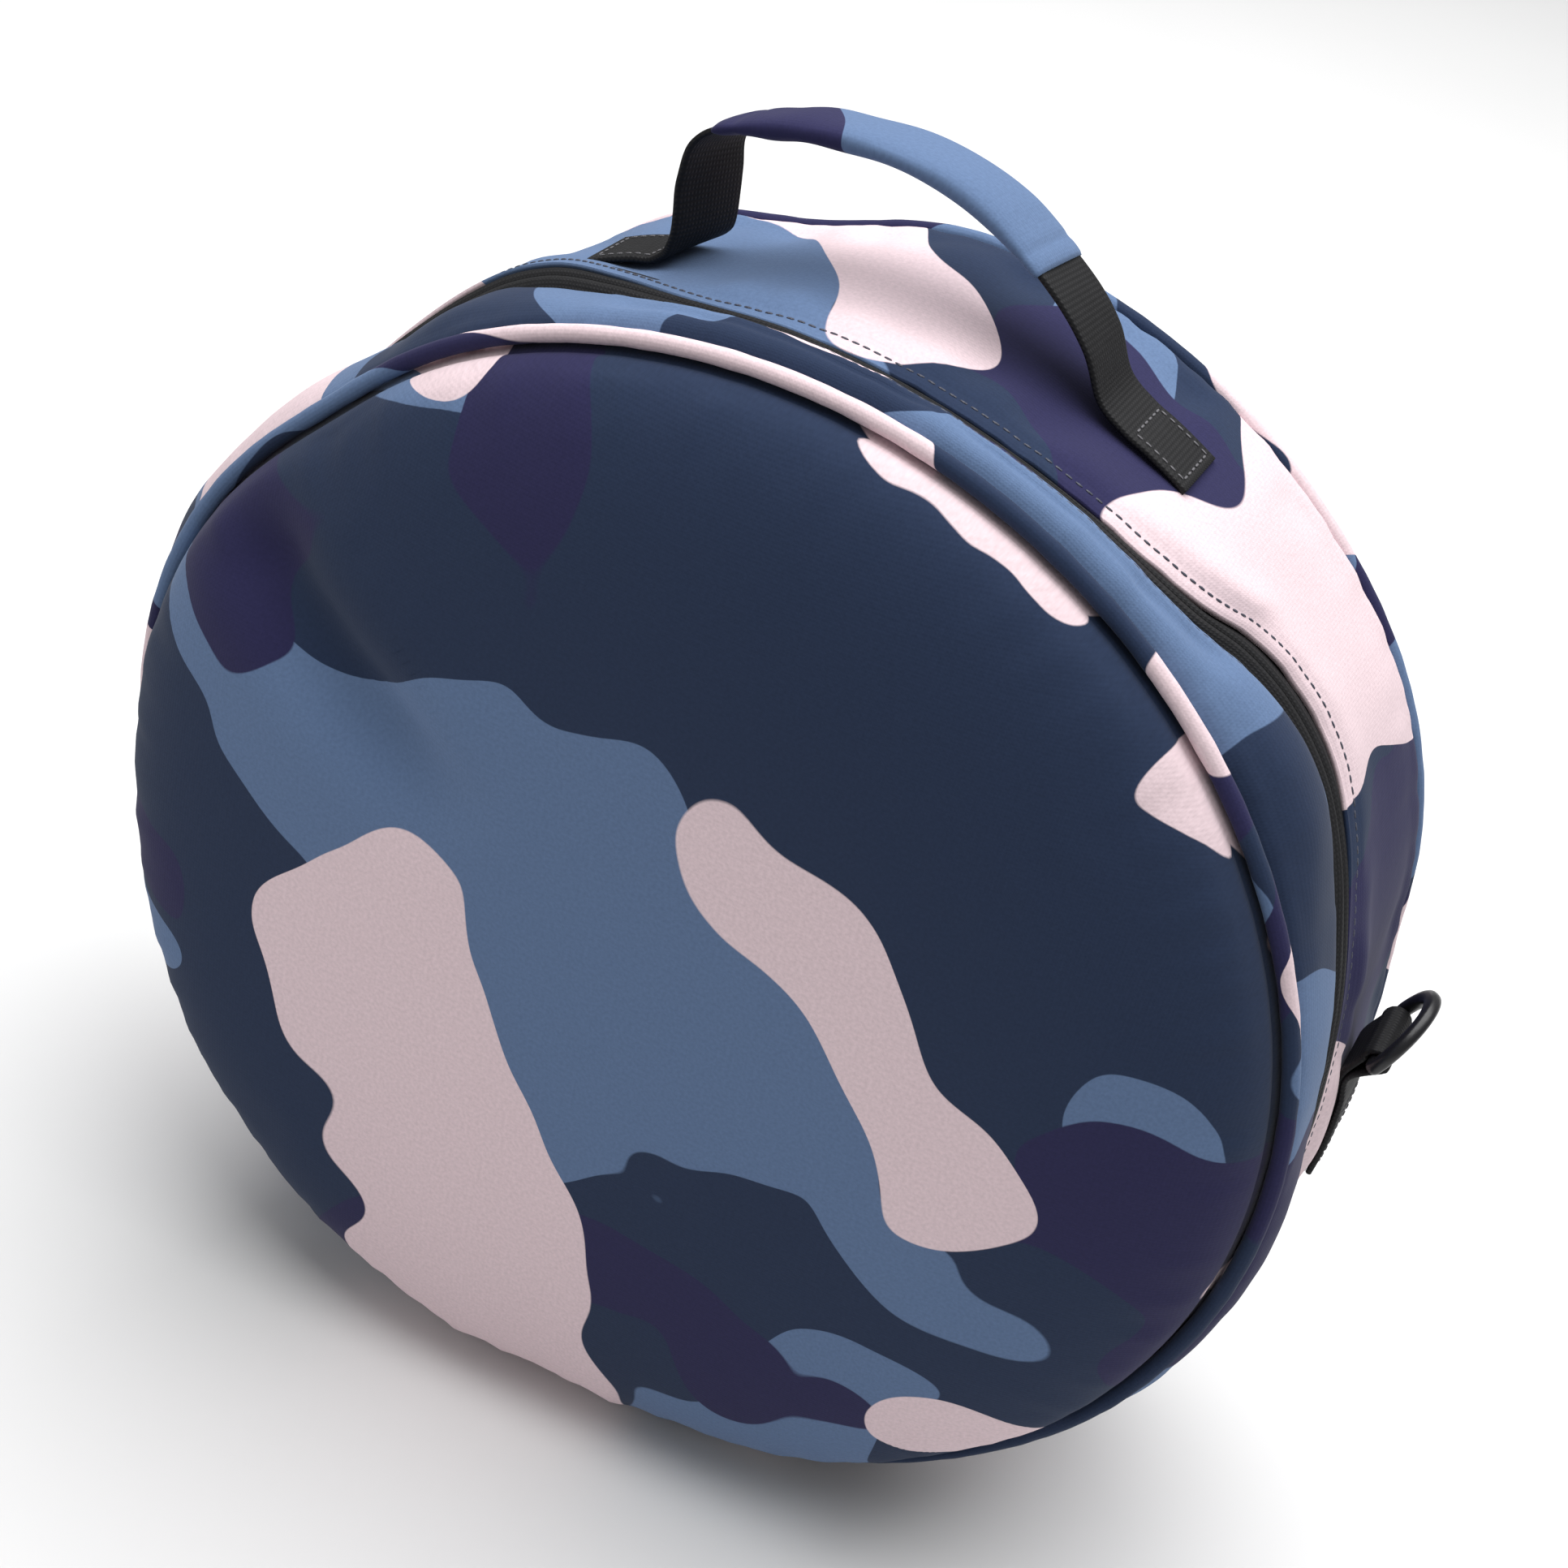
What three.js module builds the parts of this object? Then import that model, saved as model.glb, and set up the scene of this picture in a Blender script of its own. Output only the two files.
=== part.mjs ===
// Round padded bag for a diving regulator, standing on its edge with its front facing -Y.
// Millimetres, +Z up. Angles are taken about the bag's axis, from the top towards +X, and a set-back is
// the distance behind the plane of the front piping. The origin is the middle of the part's box, on the floor.
import * as THREE from "three";

// Driving dimensions of the body
const PIPING_RADIUS = 178; // bag's axis to the middle of the piping
const PIPING_BEAD = 2.5; // radius of the piping cord
const DEPTH = 118; // front piping to rear piping
const PILLOW_HEIGHT = 36; // crown of the front panel ahead of its piping
const PILLOW_SQUARENESS = 4.5; // exponent of the crown: 2 is a dome, more is a flatter pillow
const SWELL = 0.58; // extra crown of the shoulder at the lower left
const SWELL_ANGLE = -128;
const DENT_ANGLE = -58; // the dent runs from the rim towards the middle of the front panel
const DENT_DEPTH = 4.5;
const DENT_WIDTH = 20; // to each side
const DENT_REACH = { end: 0.3, full: 0.6, fade: 0.85 }; // shares of the panel's radius
const BACK_CROWN = 10; // crown of the back panel behind its piping
const PADDING = 5; // thickness of the padded cloth
const AXIS_HEIGHT = 176; // bag's axis above the floor
const SEAM_GAP = 0.3; // clearance between pieces that are sewn together
const SEGMENTS = 60; // facets round the bag

// Driving dimensions of the zip
const TAPE_WIDTH = 13;
const TAPE_OUTER = 176.4; // radius of the tape's outer face
const TAPE_THICKNESS = 1.2;
const COIL_WIDTH = 5;
const COIL_THICKNESS = 2.2;
const ZIP_END = 150; // angle where the zip stops, on both sides, in degrees
const SLIDER_ANGLE = -138;
const SLIDER_WIDTH = 7.6;
const SLIDER_LENGTH = 12;
const SLIDER_HEIGHT = 4.6;
const PULL_LENGTH = 28;
const PULL_THICKNESS = 1.6;

// Driving dimensions of the webbing and the rings
const WEBBING_WIDTH = 24;
const WEBBING_THICKNESS = 1.8;
const WEBBING_SETBACK = 70; // middle of the handle and of both tabs
const GRIP_WIDTH = 30;
const GRIP_THICKNESS = 9;
const GRIP_START = 0.285; // shares of the strap's length
const GRIP_END = 0.715;
const TAB_LOW_ANGLE = 98.5;
const TAB_HIGH_ANGLE = 87;
const RING_BAR = { x: 187, z: 18.5 }; // bar of the ring, from the bag's axis
const RING_BAR_WIDTH = 4;
const RING_LEAN = 27; // degrees outwards from upright
const RING_HALF_WIDTH = 17.5;
const RING_HEIGHT = 19.5;

const OUTER = PIPING_RADIUS + PIPING_BEAD; // radius of the gusset, level with the piping
const PANEL_RADIUS = PIPING_RADIUS - PIPING_BEAD - SEAM_GAP;
const PANEL_EDGE = PIPING_BEAD - SEAM_GAP / 2; // set-back of a round panel's sewn edge from its piping
const BAND_FRONT = PIPING_BEAD + SEAM_GAP; // set-back of the band's sewn edge
const GUSSET_REAR = DEPTH - BAND_FRONT;
const FULL_TURN = 2 * Math.PI;
const { degToRad, lerp, smoothstep } = THREE.MathUtils;

// Where the zip runs: the soft wall carries it close behind the piping at the top and further back at the sides
const ZIP_ROWS = [
  { angle: -180, lip: 34, gusset: 44 },
  { angle: -110, lip: 36, gusset: 46 },
  { angle: -70, lip: 42, gusset: 54 },
  { angle: -44, lip: 46, gusset: 60 },
  { angle: -32, lip: 42, gusset: 53 },
  { angle: -23, lip: 32, gusset: 40 },
  { angle: -13, lip: 24, gusset: 29 },
  { angle: 0, lip: 20.5, gusset: 24.5 },
  { angle: 14, lip: 19.5, gusset: 23.5 },
  { angle: 25, lip: 21, gusset: 26 },
  { angle: 32, lip: 22.5, gusset: 30 },
  { angle: 37, lip: 26, gusset: 37 },
  { angle: 42, lip: 34, gusset: 49 },
  { angle: 48, lip: 41, gusset: 57 },
  { angle: 56, lip: 44, gusset: 60 },
  { angle: 63, lip: 41, gusset: 55 },
  { angle: 70, lip: 38, gusset: 46 },
  { angle: 90, lip: 35, gusset: 43 },
  { angle: 180, lip: 34, gusset: 44 },
];

// Where the soft wall stands out of the round or sinks into it, in mm at the front and at the rear piping, fading
// over a spread of degrees to each side
const SOFT_ROWS = [
  { angle: -78, spread: 18, front: 2.5, rear: 0 },
  { angle: -47, spread: 11, front: -3, rear: 0 },
  { angle: -45, spread: 14, front: 0, rear: -6 },
  { angle: -16, spread: 11, front: 0, rear: -8 },
  { angle: 36, spread: 16, front: 0, rear: 2.2 },
  { angle: 84, spread: 9, front: 0, rear: -3 },
  { angle: 121, spread: 10, front: -2, rear: -2 },
  { angle: 151, spread: 12, front: -1, rear: -4 },
  { angle: 169, spread: 10, front: -4.5, rear: -1.5 },
];

// Front band from the piping to its lip over the zip: share of its width, how much of the puff its outer face
// has there, and its thickness, which is bare cloth at the lip
const BAND_EDGE = 178; // radius beside the piping
const BAND_PUFF = 0.24; // puff as a share of the band's width
const BAND_ROWS = [
  { share: 0, rise: 0, thickness: 4 },
  { share: 0.1, rise: 0.45, thickness: PADDING },
  { share: 0.28, rise: 0.87, thickness: PADDING },
  { share: 0.5, rise: 1, thickness: PADDING },
  { share: 0.72, rise: 0.85, thickness: PADDING },
  { share: 0.9, rise: 0.45, thickness: 3.5 },
  { share: 1, rise: 0.1, thickness: 1.2 },
];

// Rear gusset from its lip over the zip to the rear piping: share of its depth and drop of its outer face
const GUSSET_ROWS = [
  { share: 0, drop: 2.2, thickness: 1.5 },
  { share: 0.05, drop: 0.5, thickness: 3 },
  { share: 0.16, drop: 0, thickness: 3.7 },
  { share: 0.25, drop: 0, thickness: PADDING },
  { share: 0.88, drop: 0, thickness: PADDING },
  { share: 0.96, drop: 0.6, thickness: PADDING },
  { share: 1, drop: 2.9, thickness: 4 },
];

// Middle line of the handle's strap, leaning to the left as it stands, from foot to foot
const HANDLE_FOOT_ANGLES = [29.3, 27, 24.7, 22.4];
const HANDLE_ROWS = [
  { x: -61, z: 172 },
  { x: -61.5, z: 189 },
  { x: -60.5, z: 201 },
  { x: -51, z: 208.5 },
  { x: -26, z: 215.5 },
  { x: 0, z: 217 },
  { x: 22, z: 211.5 },
  { x: 42, z: 199 },
  { x: 54, z: 186.5 },
  { x: 61, z: 174 },
];
const HANDLE_TWIST = { fold: 0.42, left: 0.06, right: 0.1 }; // shift to the right per mm of width
const HANDLE_TILT = { left: 0.12, right: 0.06 }; // drop towards the back per mm of width
const HANDLE_FOLD = 9; // height over which the strap leaves the wall at the left foot
const HANDLE_UNFOLD = { start: 4, end: 30 }; // heights above the foot between which the fold's skew fades

const cloth = { roughness: 0.85, metalness: 0 };
const CAMO_BLUE = new THREE.MeshStandardMaterial({ color: 0x4f6685, ...cloth });
const CAMO_NAVY = new THREE.MeshStandardMaterial({ color: 0x2b3a55, ...cloth });
const CAMO_PINK = new THREE.MeshStandardMaterial({ color: 0xcdb8bd, ...cloth });
const BLACK_TAPE = new THREE.MeshStandardMaterial({ color: 0x1c1c1f, roughness: 0.75, metalness: 0 });
const BLACK_PLASTIC = new THREE.MeshStandardMaterial({ color: 0x161618, roughness: 0.35, metalness: 0 });

const zipLine = new THREE.CubicInterpolant(
  ZIP_ROWS.map((row) => row.angle),
  ZIP_ROWS.flatMap((row) => [row.lip, row.gusset]),
  2,
);

// Set-backs of the band's lip and of the gusset's lip at an angle in radians
function zipEdges(angle) {
  const signed = Math.atan2(Math.sin(angle), Math.cos(angle));
  const [lip, gusset] = zipLine.evaluate(THREE.MathUtils.radToDeg(signed));
  return { lip, gusset, middle: (lip + gusset) / 2 };
}

// How far an angle is from the bottom, in radians
function offBottom(angle) {
  return Math.acos(THREE.MathUtils.clamp(-Math.cos(angle), -1, 1));
}

// Share of the round radius that the wall has at an angle and set-back: the cloth is soft, and the bag's weight
// presses it flat on the floor
function squat(angle, setback) {
  const off = offBottom(angle);
  const flatHalf = Math.acos(AXIS_HEIGHT / OUTER);
  const pressed = AXIS_HEIGHT / (OUTER * Math.cos(off));
  const soft = SOFT_ROWS.reduce((sum, row) => {
    const from = angle - degToRad(row.angle);
    const aside = Math.atan2(Math.sin(from), Math.cos(from)) / degToRad(row.spread);
    return sum + lerp(row.front, row.rear, setback / DEPTH) * Math.exp(-aside * aside);
  }, 0);
  return off < flatHalf ? Math.min(pressed, 1 + soft / OUTER) : 1 + soft / OUTER;
}

// A point of the side wall
function seat(radius, angle, setback) {
  const kept = radius * squat(angle, setback);
  return new THREE.Vector3(kept * Math.sin(angle), setback, kept * Math.cos(angle));
}

// A closed profile of [radius, set-back] pairs turned about the axis, each point then moved by place
function turned(profile, place) {
  const outline = profile.map(([radius, setback]) => new THREE.Vector2(radius, setback));
  outline.push(outline[0].clone());
  const geometry = new THREE.LatheGeometry(outline, SEGMENTS);
  const spots = geometry.attributes.position;
  for (let i = 0; i < spots.count; i += 1) {
    const station = outline[i % outline.length];
    const segment = Math.floor(i / outline.length) % SEGMENTS;
    const spot = place(station.x, (segment / SEGMENTS) * FULL_TURN, station.y);
    spots.setXYZ(i, spot.x, spot.y, spot.z);
  }
  return geometry;
}

// A flat outline of (set-back from the zip's middle, radius) carried along the zip between two angles
function alongZip(outline, startDegrees, endDegrees, steps) {
  const shape = new THREE.Shape(outline.map(([setback, radius]) => new THREE.Vector2(setback, radius)));
  const geometry = new THREE.ExtrudeGeometry(shape, { depth: 1, steps, bevelEnabled: false });
  const spots = geometry.attributes.position;
  for (let i = 0; i < spots.count; i += 1) {
    const angle = degToRad(lerp(startDegrees, endDegrees, spots.getZ(i)));
    const spot = seat(spots.getY(i), angle, zipEdges(angle).middle + spots.getX(i));
    spots.setXYZ(i, spot.x, spot.y, spot.z);
  }
  return geometry;
}

// A shape drawn in x and z, given a width along Y about the webbing's set-back
function acrossWebbing(shape, width, options) {
  const bevel = options?.bevelThickness ?? 0;
  const geometry = new THREE.ExtrudeGeometry(shape, { depth: width - 2 * bevel, bevelEnabled: false, ...options });
  geometry.rotateX(Math.PI / 2);
  geometry.translate(0, WEBBING_SETBACK + width / 2 - bevel, 0);
  return geometry;
}

function piece(name, geometry, material) {
  const mesh = new THREE.Mesh(geometry, material);
  mesh.name = name;
  return mesh;
}

// Height of a pillow of unit crown at a share of its radius
function crownAt(share) {
  return Math.sqrt(1 - share ** PILLOW_SQUARENESS);
}

// Height of the front panel's face: a pillow with a fuller shoulder at the lower left and one soft radial dent
function frontHeight(share, angle) {
  const lowLeft = Math.max(0, Math.cos(angle - degToRad(SWELL_ANGLE))) ** 3;
  const swell = 1 + SWELL * share ** 4 * lowLeft;
  const fromDent = angle - degToRad(DENT_ANGLE);
  const onDentSide = Math.cos(fromDent) > 0 ? 1 : 0;
  const aside = (share * PANEL_RADIUS * Math.sin(fromDent)) / DENT_WIDTH;
  const { end, full, fade } = DENT_REACH;
  const reach = smoothstep(share, end, full) * (1 - smoothstep(share, fade, 1));
  const dent = DENT_DEPTH * onDentSide * reach * Math.exp(-aside * aside);
  return PILLOW_HEIGHT * crownAt(share) * swell - dent;
}

// A round panel crowned towards the front (facing -1) or the back (facing 1) of its seam. Stations run from the
// axis to the rim on the outer face and back on the inner face, which lies a padding's thickness below the crown
function roundPanel(outerRings, innerRings, crown, height, seam, facing) {
  const ringShare = (ring, rings) => Math.sin((ring / rings) * (Math.PI / 2));
  const outer = Array.from({ length: outerRings + 1 }, (_, ring) => ringShare(ring, outerRings));
  const inner = Array.from({ length: innerRings + 1 }, (_, ring) => ringShare(innerRings - ring, innerRings));
  const faceOut = outer.map((share) => [share, 0]);
  const faceIn = inner.map((share) => [share, 1]);
  const profile = [...faceOut, [1, 2], [1, 3], ...faceIn];
  return turned(facing < 0 ? profile : profile.reverse(), (share, angle, level) => {
    const onOuter = level === 0 || level === 2;
    const rim = onOuter ? PANEL_RADIUS : PANEL_RADIUS - PADDING;
    const radius = rim * share * (1 + (squat(angle, seam) - 1) * share ** 2);
    const thinned = onOuter ? 1 : 1 - PADDING / crown;
    const out = level > 1 ? -PANEL_EDGE : height(share, angle) * thinned;
    return new THREE.Vector3(radius * Math.sin(angle), seam + facing * out, radius * Math.cos(angle));
  });
}

function frontPanel() {
  return piece("front_panel", roundPanel(8, 5, PILLOW_HEIGHT, frontHeight, 0, -1), CAMO_NAVY);
}

// The same kind of panel with a shallow crown behind the rear piping
function backPanel() {
  const height = (share) => BACK_CROWN * crownAt(share);
  return piece("back_panel", roundPanel(5, 3, BACK_CROWN, height, DEPTH, 1), CAMO_BLUE);
}

function piping(name, setback) {
  const sides = 6;
  const circle = Array.from({ length: sides }, (_, side) => {
    const turn = (side / sides) * FULL_TURN;
    return [PIPING_RADIUS + PIPING_BEAD * Math.cos(turn), setback + PIPING_BEAD * Math.sin(turn)];
  });
  return piece(name, turned(circle, seat), CAMO_PINK);
}

// A padded wall between two set-backs that follow the angle. Its rows give the outer face, whose radius at an angle
// outer works out, and inner gives the radius of the face below
function paddedWall(rows, outer, inner, front, rear) {
  const outerFace = rows.map((_, index) => [index, 0]);
  const innerFace = rows.map((_, index) => [index, 1]).reverse();
  return turned([...outerFace, ...innerFace], (index, angle, level) => {
    const row = rows[index];
    const radius = level === 0 ? outer(row, angle) : inner(row, angle);
    return seat(radius, angle, lerp(front(angle), rear(angle), row.share));
  });
}

// The band puffs up with its width, but not below the gusset where the bag rests, and lies over the zip's tape
function frontBand() {
  const lip = (angle) => zipEdges(angle).lip;
  const outer = (row, angle) => {
    const room = 12 * smoothstep(offBottom(angle), degToRad(12), degToRad(62));
    const puff = BAND_PUFF * (lip(angle) - BAND_FRONT);
    return Math.min(BAND_EDGE + row.rise * puff, OUTER + room);
  };
  const inner = (row, angle) => Math.max(outer(row, angle) - row.thickness, TAPE_OUTER + SEAM_GAP);
  return piece("front_band", paddedWall(BAND_ROWS, outer, inner, () => BAND_FRONT, lip), CAMO_BLUE);
}

function rearGusset() {
  const lip = (angle) => zipEdges(angle).gusset;
  const outer = (row) => OUTER - row.drop;
  const inner = (row) => outer(row) - row.thickness;
  return piece("rear_gusset", paddedWall(GUSSET_ROWS, outer, inner, lip, () => GUSSET_REAR), CAMO_PINK);
}

function flatStrip(near, far) {
  const inner = TAPE_OUTER - TAPE_THICKNESS;
  return [[near, inner], [far, inner], [far, TAPE_OUTER], [near, TAPE_OUTER]];
}

// Two tapes that meet over the coil, and the cloth hinge that takes their place at the bottom
function zip() {
  const steps = (2 * ZIP_END * SEGMENTS) / 360;
  const halfGap = SEAM_GAP / 2;
  const front = alongZip(flatStrip(-TAPE_WIDTH, -halfGap), -ZIP_END, ZIP_END, steps);
  const rear = alongZip(flatStrip(halfGap, TAPE_WIDTH), -ZIP_END, ZIP_END, steps);
  const coilTop = TAPE_OUTER - TAPE_THICKNESS - SEAM_GAP;
  const half = COIL_WIDTH / 2;
  const flat = half - COIL_THICKNESS / 2;
  const coilOutline = [
    [-flat, coilTop - COIL_THICKNESS],
    [flat, coilTop - COIL_THICKNESS],
    [half, coilTop - COIL_THICKNESS / 2],
    [flat, coilTop],
    [-flat, coilTop],
    [-half, coilTop - COIL_THICKNESS / 2],
  ];
  const coil = alongZip(coilOutline, -ZIP_END, ZIP_END, steps);
  const hingeStart = ZIP_END + THREE.MathUtils.radToDeg(SEAM_GAP / TAPE_OUTER);
  const hinge = alongZip(flatStrip(-TAPE_WIDTH, TAPE_WIDTH), hingeStart, 360 - hingeStart, SEGMENTS / 6);
  return [
    piece("zip_tape_front", front, BLACK_TAPE),
    piece("zip_tape_rear", rear, BLACK_TAPE),
    piece("zip_coil", coil, BLACK_PLASTIC),
    piece("hinge_panel", hinge, CAMO_NAVY),
  ];
}

// Slider and pull in one, lying along the zip: drawn from the side, with its length along x
function zipSlider() {
  const half = SLIDER_LENGTH / 2;
  const pullEnd = half + PULL_LENGTH;
  const shape = new THREE.Shape();
  shape.moveTo(-half, 0);
  shape.lineTo(half, 0);
  shape.lineTo(half, SLIDER_HEIGHT - 2 * PULL_THICKNESS);
  shape.lineTo(pullEnd, PULL_THICKNESS / 2);
  shape.lineTo(pullEnd, 1.5 * PULL_THICKNESS);
  shape.lineTo(half, SLIDER_HEIGHT);
  shape.lineTo(PULL_THICKNESS - half, SLIDER_HEIGHT);
  shape.lineTo(-half, SLIDER_HEIGHT - PULL_THICKNESS);
  const geometry = new THREE.ExtrudeGeometry(shape, { depth: SLIDER_WIDTH, bevelEnabled: false });
  geometry.rotateX(Math.PI / 2);
  geometry.translate(0, SLIDER_WIDTH / 2, 0);
  const mesh = piece("zip_slider", geometry, BLACK_PLASTIC);
  const angle = degToRad(SLIDER_ANGLE);
  mesh.position.copy(seat(TAPE_OUTER + SEAM_GAP, angle, zipEdges(angle).middle));
  mesh.rotation.y = angle;
  return mesh;
}

// One strap from foot to foot, as a curve in x and z
function strapCurve() {
  const footRadius = OUTER + 1.5 * SEAM_GAP + WEBBING_THICKNESS / 2;
  const onFoot = (degrees) => {
    const { x, z } = seat(footRadius, degToRad(degrees), WEBBING_SETBACK);
    return new THREE.Vector2(x, z);
  };
  const leftFoot = HANDLE_FOOT_ANGLES.map((degrees) => onFoot(-degrees));
  const rightFoot = HANDLE_FOOT_ANGLES.map(onFoot).reverse();
  const arch = HANDLE_ROWS.map((row) => new THREE.Vector2(row.x, row.z));
  return new THREE.SplineCurve([...leftFoot, ...arch, ...rightFoot]);
}

// The loose strap doesn't stand square: its feet follow the wall, its left fold is skewed, and higher up its rear
// edge is shifted to the right and hangs lower
function twisted(geometry) {
  const spots = geometry.attributes.position;
  const [{ x: leftX, z: footZ }] = HANDLE_ROWS;
  const { x: rightX } = HANDLE_ROWS.at(-1);
  for (let i = 0; i < spots.count; i += 1) {
    const x = spots.getX(i);
    const setback = spots.getY(i);
    const z = spots.getZ(i);
    const angle = Math.atan2(x, z);
    const follow = squat(angle, setback) / squat(angle, WEBBING_SETBACK);
    const free = smoothstep(z, footZ - HANDLE_FOLD, footZ);
    const high = smoothstep(z, footZ + HANDLE_UNFOLD.start, footZ + HANDLE_UNFOLD.end);
    const across = THREE.MathUtils.clamp((x - leftX) / (rightX - leftX), 0, 1);
    const fold = HANDLE_TWIST.fold * (1 - across) * free * (1 - high);
    const twist = fold + high * lerp(HANDLE_TWIST.left, HANDLE_TWIST.right, across);
    const drop = high * lerp(HANDLE_TILT.left, HANDLE_TILT.right, across);
    const behind = setback - WEBBING_SETBACK;
    const kept = lerp(follow, 1, free);
    spots.setX(i, x * kept + behind * twist);
    spots.setZ(i, z * kept - behind * drop);
  }
  return geometry;
}

// Outline of a strip of even thickness about a curve
function stripShape(curve, thickness, stations) {
  const upper = [];
  const lower = [];
  for (let station = 0; station <= stations; station += 1) {
    const spot = curve.getPointAt(station / stations);
    const along = curve.getTangentAt(station / stations);
    const aside = new THREE.Vector2(-along.y, along.x).multiplyScalar(thickness / 2);
    upper.push(spot.clone().add(aside));
    lower.push(spot.clone().sub(aside));
  }
  return new THREE.Shape([...lower, ...upper.reverse()]);
}

function handleWebbing() {
  const strip = stripShape(strapCurve(), WEBBING_THICKNESS, 56);
  return piece("handle_webbing", twisted(acrossWebbing(strip, WEBBING_WIDTH)), BLACK_TAPE);
}

// Rounded sleeve carried along the middle of the strap, with a flat passage for it
function handleGrip() {
  const strap = strapCurve();
  const spots = Array.from({ length: 9 }, (_, index) => {
    const spot = strap.getPointAt(lerp(GRIP_START, GRIP_END, index / 8));
    return new THREE.Vector3(spot.x, WEBBING_SETBACK, spot.y);
  });
  const straight = GRIP_WIDTH / 2 - GRIP_THICKNESS / 2;
  const section = new THREE.Shape();
  section.absarc(straight, 0, GRIP_THICKNESS / 2, -Math.PI / 2, Math.PI / 2, false);
  section.absarc(-straight, 0, GRIP_THICKNESS / 2, Math.PI / 2, 1.5 * Math.PI, false);
  const halfWidth = WEBBING_WIDTH / 2 + SEAM_GAP;
  const halfHeight = WEBBING_THICKNESS / 2 + 2 * SEAM_GAP;
  const passage = new THREE.Path();
  passage.moveTo(-halfWidth, -halfHeight);
  passage.lineTo(-halfWidth, halfHeight);
  passage.lineTo(halfWidth, halfHeight);
  passage.lineTo(halfWidth, -halfHeight);
  section.holes.push(passage);
  const extrudePath = new THREE.CatmullRomCurve3(spots);
  const geometry = new THREE.ExtrudeGeometry(section, { steps: 16, curveSegments: 4, extrudePath });
  return piece("handle_grip", twisted(geometry), CAMO_BLUE);
}

// Folded webbing: two layers sewn flat on the gusset of one side, opening into an eye round the ring's bar
function tabShape(sign) {
  const eyeHole = RING_BAR_WIDTH * 0.56 + SEAM_GAP;
  const eyeRadius = eyeHole + WEBBING_THICKNESS;
  const onWall = (above) => Array.from({ length: 5 }, (_, index) => {
    const angle = sign * degToRad(lerp(TAB_LOW_ANGLE, TAB_HIGH_ANGLE, index / 4));
    const { x, z } = seat(OUTER + SEAM_GAP + above, angle, WEBBING_SETBACK);
    return new THREE.Vector2(sign * x, z);
  });
  const shape = new THREE.Shape(onWall(2 * WEBBING_THICKNESS));
  shape.absarc(RING_BAR.x, RING_BAR.z, eyeRadius, degToRad(-40), degToRad(170), false);
  onWall(0).reverse().forEach((spot) => shape.lineTo(spot.x, spot.y));
  const eye = new THREE.Path();
  eye.absarc(RING_BAR.x, RING_BAR.z, eyeHole, 0, FULL_TURN, true);
  shape.holes.push(eye);
  return shape;
}

// Moulded ring with a straight bar, drawn flat with its bar along x, then leant outwards about the bar
function ringGeometry() {
  const halfBar = RING_BAR_WIDTH / 2;
  const inside = WEBBING_WIDTH / 2 + 2 * SEAM_GAP;
  const arm = RING_HALF_WIDTH - inside;
  const shape = new THREE.Shape();
  shape.moveTo(-RING_HALF_WIDTH, -halfBar);
  shape.lineTo(RING_HALF_WIDTH, -halfBar);
  shape.lineTo(RING_HALF_WIDTH, halfBar);
  shape.absellipse(0, halfBar, RING_HALF_WIDTH, RING_HEIGHT - halfBar, 0, Math.PI, false);
  const opening = new THREE.Path();
  opening.moveTo(-inside, halfBar);
  opening.absellipse(0, halfBar, inside, RING_HEIGHT - halfBar - arm, Math.PI, 0, true);
  shape.holes.push(opening);
  const chamfer = RING_BAR_WIDTH / 4;
  const geometry = new THREE.ExtrudeGeometry(shape, {
    depth: RING_BAR_WIDTH - 2 * chamfer,
    curveSegments: 14,
    bevelThickness: chamfer,
    bevelSize: chamfer,
    bevelOffset: -chamfer,
    bevelSegments: 1,
  });
  geometry.translate(0, 0, chamfer - halfBar);
  geometry.rotateX(Math.PI / 2);
  geometry.rotateZ(Math.PI / 2);
  geometry.rotateY(degToRad(RING_LEAN));
  return geometry;
}

// Tab and ring of one side, drawn on the right; the left pair is turned half round the upright line of the handle
function sideFitting(side) {
  const shape = tabShape(side === "left" ? -1 : 1);
  const tab = piece(`ring_tab_${side}`, acrossWebbing(shape, WEBBING_WIDTH, { curveSegments: 8 }), BLACK_TAPE);
  tab.position.y = -WEBBING_SETBACK;
  const ring = piece(`d_ring_${side}`, ringGeometry(), BLACK_PLASTIC);
  ring.position.set(RING_BAR.x, 0, RING_BAR.z);
  const fitting = new THREE.Group();
  fitting.add(tab, ring);
  fitting.position.y = WEBBING_SETBACK;
  fitting.rotation.z = side === "left" ? Math.PI : 0;
  return fitting;
}

const bag = new THREE.Group();
bag.add(frontPanel());
bag.add(piping("front_piping", 0));
bag.add(frontBand());
bag.add(...zip());
bag.add(zipSlider());
bag.add(rearGusset());
bag.add(piping("rear_piping", DEPTH));
bag.add(backPanel());
bag.add(handleWebbing());
bag.add(handleGrip());
bag.add(sideFitting("right"));
bag.add(sideFitting("left"));
const box = new THREE.Box3().setFromObject(bag, true);
const middle = box.getCenter(new THREE.Vector3());
bag.position.set(-middle.x, -middle.y, -box.min.z);

export default bag;
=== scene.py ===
"""Looks of a round padded bag for a diving regulator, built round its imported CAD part.

Sizes are in millimetres about the bag's axis and become metres in the part's frame in spots(). Angles
are taken about the axis, from the top towards +X. A set-back is a distance behind the plane of the
front piping.
"""

from functools import partial

import bmesh
import bpy
import numpy as np
from mathutils import Matrix, Quaternion, Vector


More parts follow.
